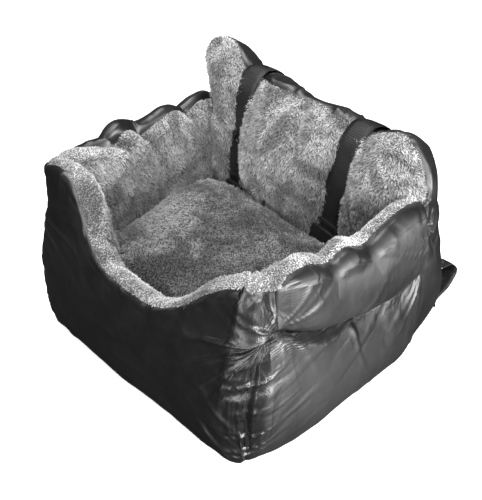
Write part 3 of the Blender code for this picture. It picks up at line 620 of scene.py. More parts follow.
def made_real(tree, copies):
    """Copies turned into plain smooth faces."""
    real = fed(tree, "GeometryNodeRealizeInstances", {}, ("Geometry", copies))
    return fed(tree, "GeometryNodeSetShadeSmooth", {}, ("Geometry", real))


def pile_tree():
    """Tufts of plush over a surface, lying along its nap and parted into clumps."""
    tree, start, end = node_tree("plush_pile", (
        ("Tufts per square metre", FLOAT, tufts_per_square_metre), ("Length", FLOAT, 0.0062),
        ("Width", FLOAT, 0.0012), ("Lean", FLOAT, 1.0), ("Clump", FLOAT, 1.3), ("Stray", FLOAT, 0.45),
        ("Clump size", FLOAT, 110.0), ("Seed", "NodeSocketInt", 1),
        ("Material", "NodeSocketMaterial", None)))
    given = start.outputs
    spots = joined(tree, "GeometryNodeDistributePointsOnFaces", {"distribute_method": "RANDOM"},
                   ("Mesh", given[0]), ("Density", given["Tufts per square metre"]),
                   ("Seed", given["Seed"]))
    place = fed(tree, "GeometryNodeInputPosition", {})
    clump = joined(tree, "ShaderNodeTexNoise", {}, ("Vector", place), ("Scale", given["Clump size"]),
                   ("Detail", 2.0)).outputs["Color"]
    sway = fed(tree, "ShaderNodeVectorMath", {"operation": "SUBTRACT"}, (0, clump),
               (1, (0.5, 0.5, 0.5)))
    stray = fed(tree, "FunctionNodeRandomValue", {"data_type": "FLOAT_VECTOR"},
                (0, (-1.0, -1.0, -1.0)), (1, (1.0, 1.0, 1.0)), ("Seed", given["Seed"]))
    way = vector_sum(tree, spots.outputs["Normal"],
                     scaled(tree, named(tree, "nap", "FLOAT_VECTOR"), given["Lean"]),
                     scaled(tree, sway, maths(tree, "MULTIPLY", given["Clump"], 3.0)),
                     scaled(tree, stray, given["Stray"]))
    high = maths(tree, "MULTIPLY", random_value(tree, 0.7, 1.15, 7), named(tree, "pile", "FLOAT"))
    size = fed(tree, "ShaderNodeCombineXYZ", {}, (0, 1.0), (1, 1.0), (2, high))
    tuft = fed(tree, "GeometryNodeMeshCone", {"fill_type": "NONE"}, ("Vertices", 3),
               ("Radius Top", 0.0), ("Radius Bottom", given["Width"]), ("Depth", given["Length"]))
    up = joined(tree, "ShaderNodeSeparateXYZ", {}, (0, place)).outputs[2]
    marked = stored(tree, tuft, "POINT", "tip", maths(tree, "DIVIDE", up, given["Length"]))
    many = planted(tree, spots.outputs[0], marked, way, ("Scale", size))
    tufts = made_real(tree, stored(tree, many, "INSTANCE", "tone", random_value(tree, 0.0, 1.0, 3)))
    whole = joined(tree, "GeometryNodeJoinGeometry", {})
    tree.links.new(given[0], whole.inputs[0])
    tree.links.new(tufts, whole.inputs[0])
    coloured = fed(tree, "GeometryNodeSetMaterial", {}, ("Geometry", whole.outputs[0]),
                   ("Material", given["Material"]))
    tree.links.new(coloured, end.inputs[0])
    return tree


def grow(piece, tree, values):
    """Run a geometry tree on a piece with its inputs set by name, and keep the plain mesh."""
    modifier = piece.modifiers.new(tree.name, "NODES")
    modifier.node_group = tree
    for item in tree.interface.items_tree:
        if item.in_out == "INPUT" and item.name in values:
            modifier[item.identifier] = values[item.name]
    apply_modifiers(piece)


plush_pile = pile_tree()


def add_pile(piece, nap, pile, material, seed):
    """Cover a plush base with tufts."""
    set_points_attribute(piece, "nap", "FLOAT_VECTOR", nap)
    set_points_attribute(piece, "pile", "FLOAT", pile)
    set_points_attribute(piece, "tone", "FLOAT", np.full(len(piece.data.vertices), 0.4))
    grow(piece, plush_pile, {"Tufts per square metre": tufts_per_square_metre, "Seed": seed,
                             "Material": material})


def plush_sheet(name, grid, nap, pile, seed):
    """A closed plush sheet: a grid of points on the cloth, its back set in, and tufts on its face."""
    rows, columns = grid.shape[:2]
    back = grid - normals_of(grid) * plush_thickness
    count = rows * columns
    faces = quads(rows, columns)
    faces += [tuple(count + k for k in reversed(face)) for face in faces]
    rim = list(range(columns))
    rim += [i * columns + columns - 1 for i in range(1, rows)]
    rim += [(rows - 1) * columns + j for j in range(columns - 2, -1, -1)]
    rim += [i * columns for i in range(rows - 2, 0, -1)]
    faces += [(b, a, a + count, b + count) for a, b in zip(rim, rim[1:] + rim[:1])]
    points = np.concatenate([grid.reshape(-1, 3), back.reshape(-1, 3)])
    piece = make_piece(name, points, faces, grey_plush)
    nap = np.concatenate([nap.reshape(-1, 3)] * 2)
    add_pile(piece, nap, np.concatenate([pile.reshape(-1), np.zeros(count)]), grey_plush, seed)
    return piece


def along_surface(grid, direction):
    """A direction laid onto a grid's surface, at unit length."""
    normal = normals_of(grid)
    direction = np.broadcast_to(np.asarray(direction, float), grid.shape)
    flat = direction - normal * (direction * normal).sum(-1, keepdims=True)
    return flat / np.maximum(np.linalg.norm(flat, axis=-1, keepdims=True), 1e-9)


# ---------------------------------------------------------------- the tub: nylon outside
# The corner seam's height and place round the wall. The panels meet in the pinch.
seam_table = ((0.0, 1.577), (0.021, 1.573), (0.067, 1.545), (0.105, 1.535), (0.140, 1.593),
              (0.176, 1.725), (0.197, 1.92), (0.206, 2.062), (0.216, 2.070), (0.29, 2.068))
pinch_w, pinch_z = 2.068, 0.206
right_drawn, left_drawn = 1.0, 0.35


def seam_at(w):
    """Where nylon meets plush round the rim, as v: low at the front corners, high on the left."""
    return (1.33 + 0.27 * smooth(-2.05, -2.3, w) + 0.06 * smooth(2.1, 2.3, w)
            - 0.19 * bump(pinch_w, 0.05, np.abs(w)))


def seam_turn(z):
    """Where the corner seam stands at a height, round the corner from the foot to the pinch."""
    return along_table(seam_table, z)


def gathers(along, across, seed):
    """Uneven gathers of cloth, 1 along each ridge and 0 between, from coordinates in steps."""
    steps = np.stack(np.broadcast_arrays(along, across, 0.37 * seed), -1)
    return 0.5 + 0.5 * np.cos(np.pi * np.clip(1.9 * np.abs(soft_noise(steps, 1.0, seed)), 0, 1))


def fan(across, up, seed):
    """Folds that fan out from a pinched point, from about -0.4 to 1.1, and the distance from it."""
    r = np.hypot(across, up) + 1e-6
    angle = np.arctan2(up, across)
    far = np.log(r / 0.01)
    folds = gathers(angle / 0.34, far * 0.22, seed) + 0.30 * gathers(angle / 0.17, far * 0.4, seed + 3)
    return folds - 0.4, r


def seam_groove(z, away, lean, drawn=1.0):
    """How far the cloth stands out beside the corner seam, the same for the panels on both sides
    of it at the seam itself, and how much of a panel's own folds is left at a distance."""
    low = smooth(0.190, 0.15, z) * smooth(0.0, 0.02, z)
    wave = (gathers((z + lean * away) / 0.0135, away / 0.05, 25)
            + 0.12 * gathers(z / 0.008, away / 0.03, 26) - 0.4)
    long = 0.022 + 0.014 * soft_noise(np.stack([z, away, 0 * z + lean], -1), 0.03, 29)
    lift = 0.0020 + 0.0052 * drawn * low * np.exp(-away / long) * wave
    lift = lift - 0.0015 * np.exp(-away / 0.0025)
    lift = lift - 0.0025 * smooth(0.205, 0.235, z) * np.exp(-away / 0.010)
    lift = lift - 0.0015 * smooth(0.030, 0.0, z) * np.exp(-away / 0.05)
    return lift, smooth(0.0, 0.008, away)


def waist_share(w, side, height=0.0, most=0.93):
    """The waist's height at a place round the wall, as v on the outer face."""
    waist = along_table(waist_table, np.clip(w, 2, 4)) * rim_height + height
    crown = along_table(rim_table, side * w) * rim_height - rim_round
    return np.clip((waist - foot_z) / (crown - foot_z), 0, most)


def front_shell():
    """The front panel, seam to seam, with folds drawn into both corner pinches."""
    t = np.linspace(-1, 1, 209)[:, None]
    t = t * (1.2 - 0.2 * t ** 2)
    q = np.linspace(0, 1, 400)
    dense = np.cumsum(1 + 2.6 * bump(0.76, 0.07, q)) - 1  # more rows where the seam runs aside
    rise = np.interp(np.linspace(0, 1, 79), dense / dense[-1], q)
    v = np.concatenate([rise, np.linspace(1, 2, 7)[1:]])[None, :]
    w = t * seam_turn(wall_point(pinch_w + 0 * v, np.minimum(v, 1))[..., 2])
    grid = wall_point(w, np.minimum(v, 1) + (seam_at(w) - 1) * np.clip(v - 1, 0, 1))
    z = grid[..., 2]
    a = lengths_along(grid, 0)
    middle = a[104]
    share = z / (along_table(rim_table, w) * rim_height)
    full = 1 - np.abs(t) ** 4
    lift = 0.0050 * np.sin(np.pi * np.clip(share, 0, 1)) * full
    lift = lift + 0.0036 * layered_noise(grid * (0.8, 1.0, 1.1), 0.11, 21, 2)
    lift = lift + 0.0012 * (gathers((a - middle) / 0.05 + z / 0.07, z / 0.03, 27) - 0.3)
    lift = lift + 0.0050 * smooth(0.09, 0.02, z) * full
    crown = smooth(0.80, 1.0, share)
    rim_folds = gathers(a / 0.024, share / 0.14, 28) - 0.35
    lift = lift + 0.0018 * crown * rim_folds * smooth(1.0, 0.8, np.abs(t))
    spare = np.maximum(0.10, 0.55 * smooth(0.88, 1.0, share))
    seam = 0
    for edge, drawn in ((a[:1], left_drawn), (a[-1:], right_drawn)):
        da = np.abs(a - edge)
        folds, r = fan(da, z - pinch_z, 23)
        lift = lift + 0.0090 * drawn * folds * smooth(0, 0.035, r) * np.exp(-r / 0.085)
        lift = lift - 0.0050 * np.exp(-da / 0.03) * smooth(0.215, 0.25, z)
        near, own = seam_groove(z, da, 0.35, drawn)
        seam = seam + np.where(t * (edge - middle) > 0, near, 0)
        lift = lift * own
        spare = np.maximum(spare, np.exp(-r / 0.05))
        spare = np.maximum(spare, 0.8 * np.exp(-da / 0.03) * smooth(0.20, 0.14, z))
    lift = lift + np.where(seam == 0, 0.0020, seam)
    u = lengths_along(grid, 1)
    grid = on_floor(lifted(grid, lift * smooth(-0.001, 0.008, u[:, -1:] - u)))
    grid = settle(grid, held_edges(grid), spare)
    return panel_of("front_nylon_shell", on_floor(refine(grid, 2)), black_nylon)


def side_roll(side, name):
    """The stuffed roll above the waist, gathered along its lower seam."""
    w = np.linspace(0, 1, 117)[:, None]
    w = pinch_w + (side_end - pinch_w) * w * (0.6 + 0.4 * w)
    low = waist_share(w, side, most=0.9)
    r = np.linspace(0, 1, 37)[None, :]
    grid = wall_point(side * w, low + (seam_at(side * w) - low) * r)
    if side < 0:
        grid, w = grid[::-1], w[::-1]
    a, u = lengths_along(grid, 0), lengths_along(grid, 1)
    total = u[:, -1:]
    near, far = (a, a[-1:] - a) if side > 0 else (a[-1:] - a, a)
    full = np.clip(total / 0.09, 0.3, 1.2) * (1.0 if side > 0 else 0.55)
    ends = smooth(-0.01, 0.055, near) * smooth(side_end, 2.97, w)
    lift = 0.0165 * full * np.sin(np.pi * r ** 0.5) * ends
    lift = lift - 0.0085 * np.exp(-u / 0.0045) * ends
    shear = a - 0.5 * u
    wave = gathers(shear / 0.011, u / 0.05, 31) + 0.4 * gathers(shear / 0.006, u / 0.03, 32) - 0.4
    lift = (lift + 0.0018 * np.exp(-u / 0.010) * smooth(0.0, 0.006, u)
            * smooth(0.03, 0.09, near) * wave)
    top = np.exp(-(total - u) / 0.016)
    lift = lift + 0.0020 * top * (gathers(a / 0.026, u / 0.05, 33) - 0.35)
    lift = lift + 0.0009 * (gathers((a - 0.8 * u) / 0.060, (u + 0.5 * a) / 0.12, 36) - 0.3)
    spare = 0.10 + 0.9 * np.exp(-u / 0.025) + 0.5 * top
    for gap, depth in ((near, 0.0022), (far, 0.0060)):
        folds, r2 = fan(gap, u, 34)
        lift = lift + depth * folds * smooth(0, 0.035, r2) * np.exp(-r2 / 0.045)
        spare = np.maximum(spare, np.exp(-r2 / 0.05))
    lift = lift - 0.0035 * np.exp(-far / 0.005) + 0.0024 * layered_noise(grid, 0.08, 35, 2)
    if side < 0:
        scallop = 0.6 + 0.4 * soft_noise(np.stack([a / 0.07, 0 * a, 0 * a], -1), 1.0, 37)
        puff = 0.0115 * scallop + 0.011 * bump(2.48, 0.09, w)
        lift = lift + puff * smooth(total - 0.035, total - 0.012, u) * ends
    seam, own = seam_groove(grid[..., 2], near, 0.0, right_drawn if side > 0 else left_drawn)
    grid = lifted(grid, (seam + lift * own) * smooth(-0.001, 0.008, total - u))
    grid = settle(grid, held_edges(grid), np.clip(spare, 0, 1))
    return panel_of(name, refine(grid, 2), black_nylon)


def side_lower(side, name):
    """The flat nylon panel under the waist, behind the pocket."""
    v = np.linspace(0, 1, 25)[None, :]
    s = np.linspace(0, 1, 81)[:, None]
    start = seam_turn(foot_z + v * (pinch_z - foot_z)) - 0.03
    w = start + s * (side_end - start)
    grid = wall_point(side * w, v * waist_share(w, side))
    if side < 0:
        grid = grid[::-1]
    lift = 0.0010 - 0.004 * smooth(0.9, 1.0, v) + 0.0006 * layered_noise(grid, 0.03, 41)
    return panel_of(name, lifted(grid, lift), black_nylon)


def pocket(side, name):
    """The gathered pocket over the lower side wall, its mouth drawn in by elastic."""
    s = np.linspace(0, 1, 149)[:, None]
    s = s * (0.6 + 0.4 * s)
    r = np.linspace(0, 1, 65)[None, :]
    start = seam_turn(foot_z + r * (pinch_z - foot_z))
    w = start + s * (3.045 - start)
    grid = wall_point(side * w, r * waist_share(w, side, 0.002 * smooth(0.0, 0.1, s)))
    if side < 0:
        grid, s, w = grid[::-1], s[::-1], w[::-1]
    a, u = lengths_along(grid, 0), lengths_along(grid, 1)
    down = u[:, -1:] - u
    z = grid[..., 2]
    near, far = (a, a[-1:] - a) if side > 0 else (a[-1:] - a, a)
    ends = np.clip(np.sin(np.pi * np.clip(s, 0, 1)), 0, 1) ** 0.4 * (1.0 if side > 0 else 0.6)
    lift = 0.0125 * ends * smooth(0.0, 0.050, down) * smooth(0.0, 0.45, r) ** 0.7
    lift = lift + 0.0015 * bump(0.007, 0.004, down) * ends
    lift = lift + 0.0075 * smooth(0.10, 0.02, z) * smooth(0.0, 0.05, near) * smooth(0.0, 0.05, far)
    streak = gathers((a - 0.5 * down) / 0.034, down / 0.18, 61) - 0.3
    lift = lift + 0.0050 * streak * np.exp(-down / 0.070) * smooth(0.0, 0.02, down)
    wave = (gathers((a + 0.25 * down) / 0.014, down / 0.07, 51)
            + 0.4 * gathers(a / 0.0065, down / 0.03, 52) - 0.4)
    under_mouth = np.exp(-np.clip(down - 0.010, 0, None) / 0.014) * smooth(0, 0.012, down)
    lift = lift + 0.0022 * under_mouth * wave
    spare = np.maximum(0.12 + np.exp(-down / 0.035), 0.8 * np.exp(-near / 0.03))
    for gap, depth in ((near, 0.0065), (far, 0.0075)):
        folds, r2 = fan(gap, down, 53)
        lift = lift + depth * folds * smooth(0, 0.045, r2) * np.exp(-r2 / 0.075)
        spare = np.maximum(spare, np.exp(-r2 / 0.05))
    below = smooth(0.0, 0.03, down)
    lift = lift + 0.0030 * layered_noise(grid * (1, 1, 0.6), 0.10, 58, 2) * below
    lift = lift + 0.0012 * (gathers((a + down) / 0.05, (down - a) / 0.11, 59) - 0.3) * below
    seam, own = seam_groove(z, near, -0.35, right_drawn if side > 0 else left_drawn)
    grid = on_floor(lifted(grid, np.maximum(lift * own, -0.0004) + seam))
    held = np.maximum(held_edges(grid, top=False), 0.97 * (down < 0.014))
    grid = settle(grid, held, np.clip(spare, 0, 1), pressure=1.5)
    grid = on_floor(refine(grid, 2))
    a, u = lengths_along(grid, 0), lengths_along(grid, 1)
    down = u[:, -1:] - u
    near = a if side > 0 else a[-1:] - a
    fine = (gathers(a / 0.0042, down / 0.02, 60) - 0.3) * smooth(0.010, 0.045, near)
    grid = lifted(grid, 0.0011 * np.exp(-down / 0.006) * fine)
    piece = panel_of(name, grid, pocket_nylon)
    return piece


# ---------------------------------------------------------------- the padded back
left_strap, right_strap = -0.129, 0.098
crown_table = (
    (-0.2289, .985), (-0.2163, 1.0), (-0.2050, .992), (-0.190, .974), (-0.175, .956),
    (-0.160, .930), (-0.147, .912), (-0.129, .905), (-0.105, .907), (-0.080, .905), (-0.0561, .898),
    (-0.0216, .890), (0.0098, .883), (0.0412, .876), (0.0695, .868), (0.098, .850),
    (0.1265, .852), (0.1392, .868), (0.1554, .882), (0.1717, .882), (0.1946, .850),
    (0.2146, .785), (0.2289, .700))


def rear_swell(z):
    """How far the stuffed rear stands out at a height."""
    return 0.004 * np.sin(np.pi * np.clip(z / back_height, 0, 1) ** 0.6)


def back_points(across):
    """The back's section at places across it, as rows of control points from its rear foot over
    the top and down the plush face."""
    crown = along_table(crown_table, across) * back_height

    def rear_at(z):
        radius = 0.030 + 0.020 * smooth(0.12, 0.22, z)
        over = np.clip(np.abs(across) - (half_width - radius), 0, radius)
        rounded = np.sqrt(radius ** 2 - over ** 2)
        return back_y - radius + rounded + rear_swell(z) - setback(z, back_lean)

    shoulder = crown - 0.020
    depth = rear_at(shoulder) + back_lean - bolster_y

    def lobes(level):
        tuck = 0.036 * smooth(0.12, 0.40, level)
        lobe = np.zeros_like(across)
        for start, end, full in ((-0.2240 + tuck, -0.1460, 0.8), (-0.1200, 0.0790, 1.5),
                                 (0.1170, 0.2170 - 0.7 * tuck, 1.25)):
            share = np.clip((across - start) / (end - start), 0, 1)
            lobe = np.maximum(lobe, full * np.clip(np.sin(np.pi * share), 0, None) ** 0.45)
        return lobe

    near_left, near_right = (np.clip(1 - np.abs(across - place) / 0.10, 0, 1)
                             for place in (left_strap, right_strap))
    rows = []
    for share in (0.0, 0.22, 0.45, 0.68, 0.86):
        z = foot_z + share * (shoulder - foot_z)
        rows.append((across, rear_at(z), z))
    dip = 0.016 * bump(-0.012, 0.05, across)
    rows.append((across, bolster_y + depth * 0.9 - 0.005, shoulder - dip))
    rows.append((across, bolster_y + depth * 0.69, crown - 0.004 - dip))
    rows.append((across, bolster_y + depth * 0.36, crown + 0.001))
    for level, recede, swell in ((0.07, 0.13, 0.30), (0.20, 0.03, 0.75), (0.36, 0.0, 0.97),
                                 (0.54, 0.0, 1.0), (0.72, 0.0, 0.85), (0.87, 0.0, 0.60),
                                 (1.0, 0.0, 0.42)):
        z = crown + level * (floor_z - crown)
        drift = (0.018 * near_left + 0.20 * near_right) * (z - crown)
        rows.append((across + drift, bolster_y + recede * depth - swell * lobes(level) * 0.022, z))
    points = np.stack([np.stack(np.broadcast_arrays(*row), -1) for row in rows], 1)
    points[..., 0] -= (np.sign(points[..., 0]) * np.abs(across)[:, None] / half_width
                       * setback(points[..., 2], side_lean))
    points[..., 0] += (0.012 * smooth(-0.14, -half_width, across)[:, None]
                       * smooth(0.37, 0.30, points[..., 2]) * smooth(0.20, 0.27, points[..., 2]))
    return points


top_edge_table = ((-0.2289, 6.55), (-0.207, 6.60), (-0.187, 6.85), (-0.160, 7.25), (-0.129, 7.40),
                  (-0.060, 7.40), (0.040, 7.25), (0.098, 7.20), (0.160, 7.10), (0.2289, 7.15))


def top_edge(across):
    """Where nylon meets plush over the top of the back, counted in control rows."""
    return along_table(top_edge_table, across)


def back_shell():
    """The nylon over the rear and top of the back, drawn in at the straps and ears."""
    left_end = 0.010 - half_width
    ends, span = 10, 133
    across = np.concatenate([np.full(ends, half_width), np.linspace(half_width, left_end, span),
                             np.full(ends, left_end)])
    wrap = np.concatenate([np.linspace(0.0, 0.92, ends), np.ones(span), np.linspace(0.92, 0.30, ends)])
    over = 5 + (top_edge(across)[:, None] - 5) * np.linspace(0, 1, 20)[None, 1:]
    places = np.concatenate([np.linspace(0, 5, 70)[None].repeat(len(over), 0), over], 1)
    grid = through_points(back_points(across), places)
    low = smooth(0.30, 0.25, grid[..., 2]) * smooth(0.92, 0.30, wrap)[:, None] * (across < 0)[:, None]
    wrap = wrap[:, None] - 0.36 * low
    grid[..., 1] = np.minimum(bolster_y + (grid[..., 1] - bolster_y) * wrap, grid[..., 1])
    across = across[:, None]
    u = lengths_along(grid, 1)
    left = u[:, -1:] - u
    lift = 0.0016 + 0.0035 * layered_noise(grid * (1, 1, 0.6), 0.12, 61, 2)
    lift = lift + 0.002 * np.sin(np.pi * np.clip(u / u[:, -1:], 0, 1))
    top = np.exp(-left / 0.045)
    lift = lift + 0.0030 * top
    lift = lift + 0.0036 * top * (gathers(across / 0.034, left / 0.07, 62) - 0.35)
    lift = lift + 0.0018 * (gathers((across + 0.6 * left) / 0.05, left / 0.09, 65) - 0.3)
    spare = 0.12 + 0.5 * top
    for place in (left_strap, right_strap):
        da = across - place
        lift = lift - 0.005 * bump(0, 0.022, da) * np.exp(-left / 0.06)
        folds, r = fan(np.abs(da), left + 0.01, 63)
        lift = lift + 0.0040 * folds * np.clip(r / 0.02, 0, 1) * np.exp(-r / 0.06)
        spare = np.maximum(spare, np.exp(-np.hypot(da, left) / 0.05))
    for side in (-1.0, 1.0):
        edge = np.exp(-np.abs(across - side * half_width) / 0.03) * (wrap > 0.99)
        spare = np.maximum(spare, 0.7 * edge)
    z = grid[..., 2]
    corner = np.exp(-np.clip(half_width - np.abs(across), 0, None) / 0.03)
    folds, r = fan(np.abs(grid[..., 1] - 0.131), z - 0.217, 64)
    lift = lift + 0.0050 * folds * np.clip(r / 0.015, 0, 1) * np.exp(-r / 0.06) * corner
    grid = lifted(grid, lift * smooth(-0.001, 0.008, left) + 0.0006)
    grid = settle(grid, held_edges(grid), np.clip(spare, 0, 1), pressure=2.0)
    fine = refine(grid, 2)
    return panel_of("back_nylon_shell", fine[:, :-(fine.shape[1] - 1) % 4 or None], black_nylon)


def back_lobes():
    """The plush face of the back in three lobes, pinched under the straps."""
    pieces = []
    cuts = ((-half_width, left_strap, "back_plush_left", 46),
            (left_strap, right_strap, "back_plush_middle", 90),
            (right_strap, half_width, "back_plush_right", 60))
    for k, (low, high, name, columns) in enumerate(cuts):
        across = np.linspace(low + (0.006 if k == 0 else 0), high, columns)
        start = top_edge(across)[:, None] - 0.25
        share = np.linspace(0, 1, 57)[None, :] ** 1.25
        places = start + (14 - start) * share
        grid = through_points(back_points(across), places)
        if k == 0:
            turned = np.repeat(grid[:1], 8, 0)
            fall = smooth(0.0, 0.045, grid[:1, :1, 2] - grid[:1, :, 2])
            turned[..., 1] += (np.linspace(0.040, 0.004, 8)[:, None] * fall
                               * smooth(0.245, 0.275, turned[..., 2]))
            grid = np.concatenate([turned, grid])
        grid = grid[::-1]
        edge = smooth(0, 0.02, lengths_along(grid, 1))
        lift = 0.0010 + 0.0022 * edge + 0.003 * layered_noise(grid, 0.05, 71 + k, 2) * edge
        crease = gathers((grid[..., 0] + 0.3 * grid[..., 2]) / 0.05, grid[..., 2] / 0.12, 75 + k) - 0.3
        grid = lifted(grid, lift - 0.0045 * crease * edge)
        nap = along_surface(grid, (0.15, -0.2, -1.0))
        pieces.append(plush_sheet(name, grid, nap, 0.45 + 0.55 * edge, 5 + k))
    return pieces


# ---------------------------------------------------------------- the tub: plush inside
def wall_lining(name, w_low, w_high, columns, seed):
    """The plush inside of a wall, from the outer seam over the rim to the floor."""
    w = np.linspace(w_low, w_high, columns)[:, None]
    rim = np.linspace(0, 1, 18)[None, :]
    start = seam_at(w) - 0.05
    v = np.concatenate([start + (2 - start) * rim, 0 * w + np.linspace(2, 3, 34)[None, 1:]], 1)
    grid = wall_point(w, v)
    a, u = lengths_along(grid, 0), lengths_along(grid, 1)
    deep = smooth(1.6, 2.2, v)
    lift = 0.0030 + 0.0010 * deep + 0.0025 * layered_noise(grid, 0.045, seed, 2) * (0.4 + 0.6 * deep)
    lift = lift - 0.0060 * deep * (gathers(a / 0.045, u / 0.16, seed + 3) - 0.3)
    lift = lift - 0.0025 * (gathers(a / 0.024, u / 0.05, seed + 5) - 0.3)
    bent = w + 0.10 * np.clip(v - 1.6, 0, None)
    for place, end in ((-2.79, 2.65), (-2.47, 2.85), (-2.31, 2.5)):
        lift = lift - 0.0085 * bump(place, 0.022, bent) * smooth(end, 1.7, v)
    grid = lifted(grid, lift * smooth(0, 0.006, u + 0.001))
    x, y = grid[..., 0], grid[..., 1]
    outward = np.stack([np.sign(x) * (np.abs(x) > 0.16), -1.0 * (y < -0.15), -0.3 + 0 * x], -1)
    nap = np.where((v < 2)[..., None], along_surface(grid, outward),
                   along_surface(grid, (0.0, 0.1, -1.0)))
    return plush_sheet(name, grid, nap, 0.45 + 0.55 * deep, seed)


# ---------------------------------------------------------------- cushion
def cushion():
    """The lift-out cushion: a crowned plush pad with round corners, pushed up at the back left."""
    low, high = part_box("cushion_cover")
    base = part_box("cushion_underside")[0].z
    centre_y = (low.y + high.y) / 2
    half_x, half_y = (high.x - low.x) / 2 - 0.001, (high.y - low.y) / 2 - 0.001
    turns = np.linspace(0, 2 * math.pi, 241)[:-1]
    power = 5.5
    c, s = np.cos(turns), np.sin(turns)
    outline = np.stack([half_x * np.sign(c) * np.abs(c) ** (2 / power),
                        half_y * np.sign(s) * np.abs(s) ** (2 / power)], -1)
    step = np.linalg.norm(np.roll(outline, -1, 0) - outline, axis=1)
    walked = np.concatenate([[0], np.cumsum(step)])
    even = np.linspace(0, walked[-1], 201)[:-1]
    closed = np.vstack([outline, outline[:1]])
    outline = np.stack([np.interp(even, walked, closed[:, k]) for k in (0, 1)], -1)
    rings = []
    for reach, rise in ([(1.0, q) for q in (0.0, 0.10, 0.2, 0.3, 0.4, 0.5, 0.6)]
                        + [(0.998, .7), (.99, .8), (.972, .89), (.945, .955), (.91, .99)]
                        + [(q, 1.0) for q in np.linspace(0.87, 0.02, 30)]):
        flat = outline * reach
        crown = (0.018 * np.clip(1 - (flat[:, 0] / half_x) ** 2, 0, None)
                 * np.clip(1 - (flat[:, 1] / half_y) ** 2, 0, None))
        z = rise * 0.052 + rise * 0.010 * (1 - reach ** 4) + rise * crown
        rings.append(np.stack([flat[:, 0], flat[:, 1] + centre_y, z + base + 0.001], -1))
    grid = np.stack(rings, 0)
    rows, count = grid.shape[:2]
    normal = np.cross(np.roll(grid, -1, 1) - np.roll(grid, 1, 1), np.gradient(grid, axis=0))
    normal /= np.maximum(np.linalg.norm(normal, axis=-1, keepdims=True), 1e-12)
    lift = 0.0025 * layered_noise(grid, 0.07, 81) * smooth(0.0, 0.02, grid[..., 2] - base)
    grid = grid + normal * lift[..., None]
    tilt = 1 + 0.46 * smooth(0.07, -0.16, grid[..., 0]) * smooth(-0.13, 0.09, grid[..., 1])
    grid[..., 2] = base + (grid[..., 2] - base) * tilt
    faces = turned_over(quads(rows, count, ring=True))
    points = np.concatenate([grid.reshape(-1, 3), [grid[-1].mean(0)], [grid[0].mean(0)]])
    up_share = np.concatenate([np.clip(normal[..., 2], 0, 1).reshape(-1), [1.0, 0.0]])
    for j in range(count):
        k = (j + 1) % count
        faces.append(((rows - 1) * count + j, (rows - 1) * count + k, rows * count))
        faces.append((k, j, rows * count + 1))
    piece = make_piece("cushion_pad", points, faces, cushion_plush)
    swirl = soft_noise(points, 0.09, 83)
    nap = np.stack([0.55 + 0.8 * swirl, -0.9 + 0.6 * soft_noise(points, 0.07, 84),
                    -0.35 + 0 * swirl], -1)
    nap /= np.linalg.norm(nap, axis=1, keepdims=True)
    pile = np.where(points[:, 2] > base + 0.004, 0.35, 0.0) + 0.55 * smooth(0.2, 0.7, up_share)
    add_pile(piece, nap, pile, cushion_plush, 9)
    return piece


# ---------------------------------------------------------------- straps
def ribbon(name, path, width, rib):
    """Ribbed webbing along a path, its width level, with rounded edges and crosswise ribs."""
    path = np.asarray(path, float)
    fine = through_points(path[None], np.linspace(0, len(path) - 1, len(path) * 24))[0]
    step = np.concatenate([[0], np.cumsum(np.linalg.norm(np.diff(fine, axis=0), axis=1))])
    rows = max(int(step[-1] / (rib / 4)), 8)
    even = np.linspace(0, step[-1], rows)
    line = np.stack([np.interp(even, step, fine[:, k]) for k in range(3)], -1)
    tangent = np.gradient(line, axis=0)
    tangent /= np.linalg.norm(tangent, axis=1, keepdims=True)
    level = np.array([1.0, 0.0, 0.0])
    across = level - tangent * (tangent @ level)[:, None]
    across /= np.linalg.norm(across, axis=1, keepdims=True)
    up = np.cross(tangent, across)
    ridge = 0.5 - 0.5 * np.cos(2 * np.pi * even / rib)
    ring = []
    for side, lift in ((-1, -.5), (-.5, -1), (0, -1), (.5, -1), (1, -.5), (1, .5), (.5, 1), (0, 1),
                       (-.5, 1), (-1, .5)):
        swell = 1 + (0.85 * ridge if abs(side) < 1 else 0 * ridge)
        reach = side * width / 2 * (0.995 + 0.005 * ridge)
        ring.append(line + across * reach[:, None]
                    + up * (lift * webbing_thickness / 2 * swell)[:, None])
    grid = np.stack(ring, 1)
    count = grid.shape[1]
    faces = quads(rows, count, ring=True)
    faces.append(tuple(range(count)))
    faces.append(tuple((rows - 1) * count + j for j in reversed(range(count))))
    piece = make_piece(name, grid.reshape(-1, 3), faces, webbing_black)
    grid_uv(piece, np.broadcast_to(even[:, None], (rows, count)),
            np.broadcast_to(np.linspace(0, width * 2, count)[None], (rows, count)))
    return piece


def strap_path(place, slope):
    """The middle line of a strap: up the rear, over the back and down to the buckle's tongue."""
    line = back_points(np.array([place]))[0]
    crown = line[7, 2]
    run = np.gradient(line, axis=0)
    out = np.stack([0 * run[:, 0], run[:, 2], -run[:, 1]], -1)
    out /= np.linalg.norm(out, axis=1, keepdims=True)
    order = np.arange(len(line))
    away = np.where(order < 7, 0.0053, 0.0080)
    line = line + out * away[:, None]
    keep = (order <= 7) | (line[:, 2] > 0.2395)
    tongue_z = 0.14
    low_x = (place + slope * (tongue_z - crown)
             - np.sign(place) * abs(place) / half_width * setback(tongue_z, side_lean))
    tilt = math.atan(slope)
    along = np.array([math.sin(tilt), 0, math.cos(tilt)])
    base = np.array([low_x, bolster_y - 0.0114, tongue_z])
    path = list(line[keep])
    path[0] = path[0] + (path[1] - path[0]) * 0.6
    return path + [base + along * (0.0995 * q + 0.004 * (1 - q)) for q in (1.0, 0.66, 0.33, 0.0)]


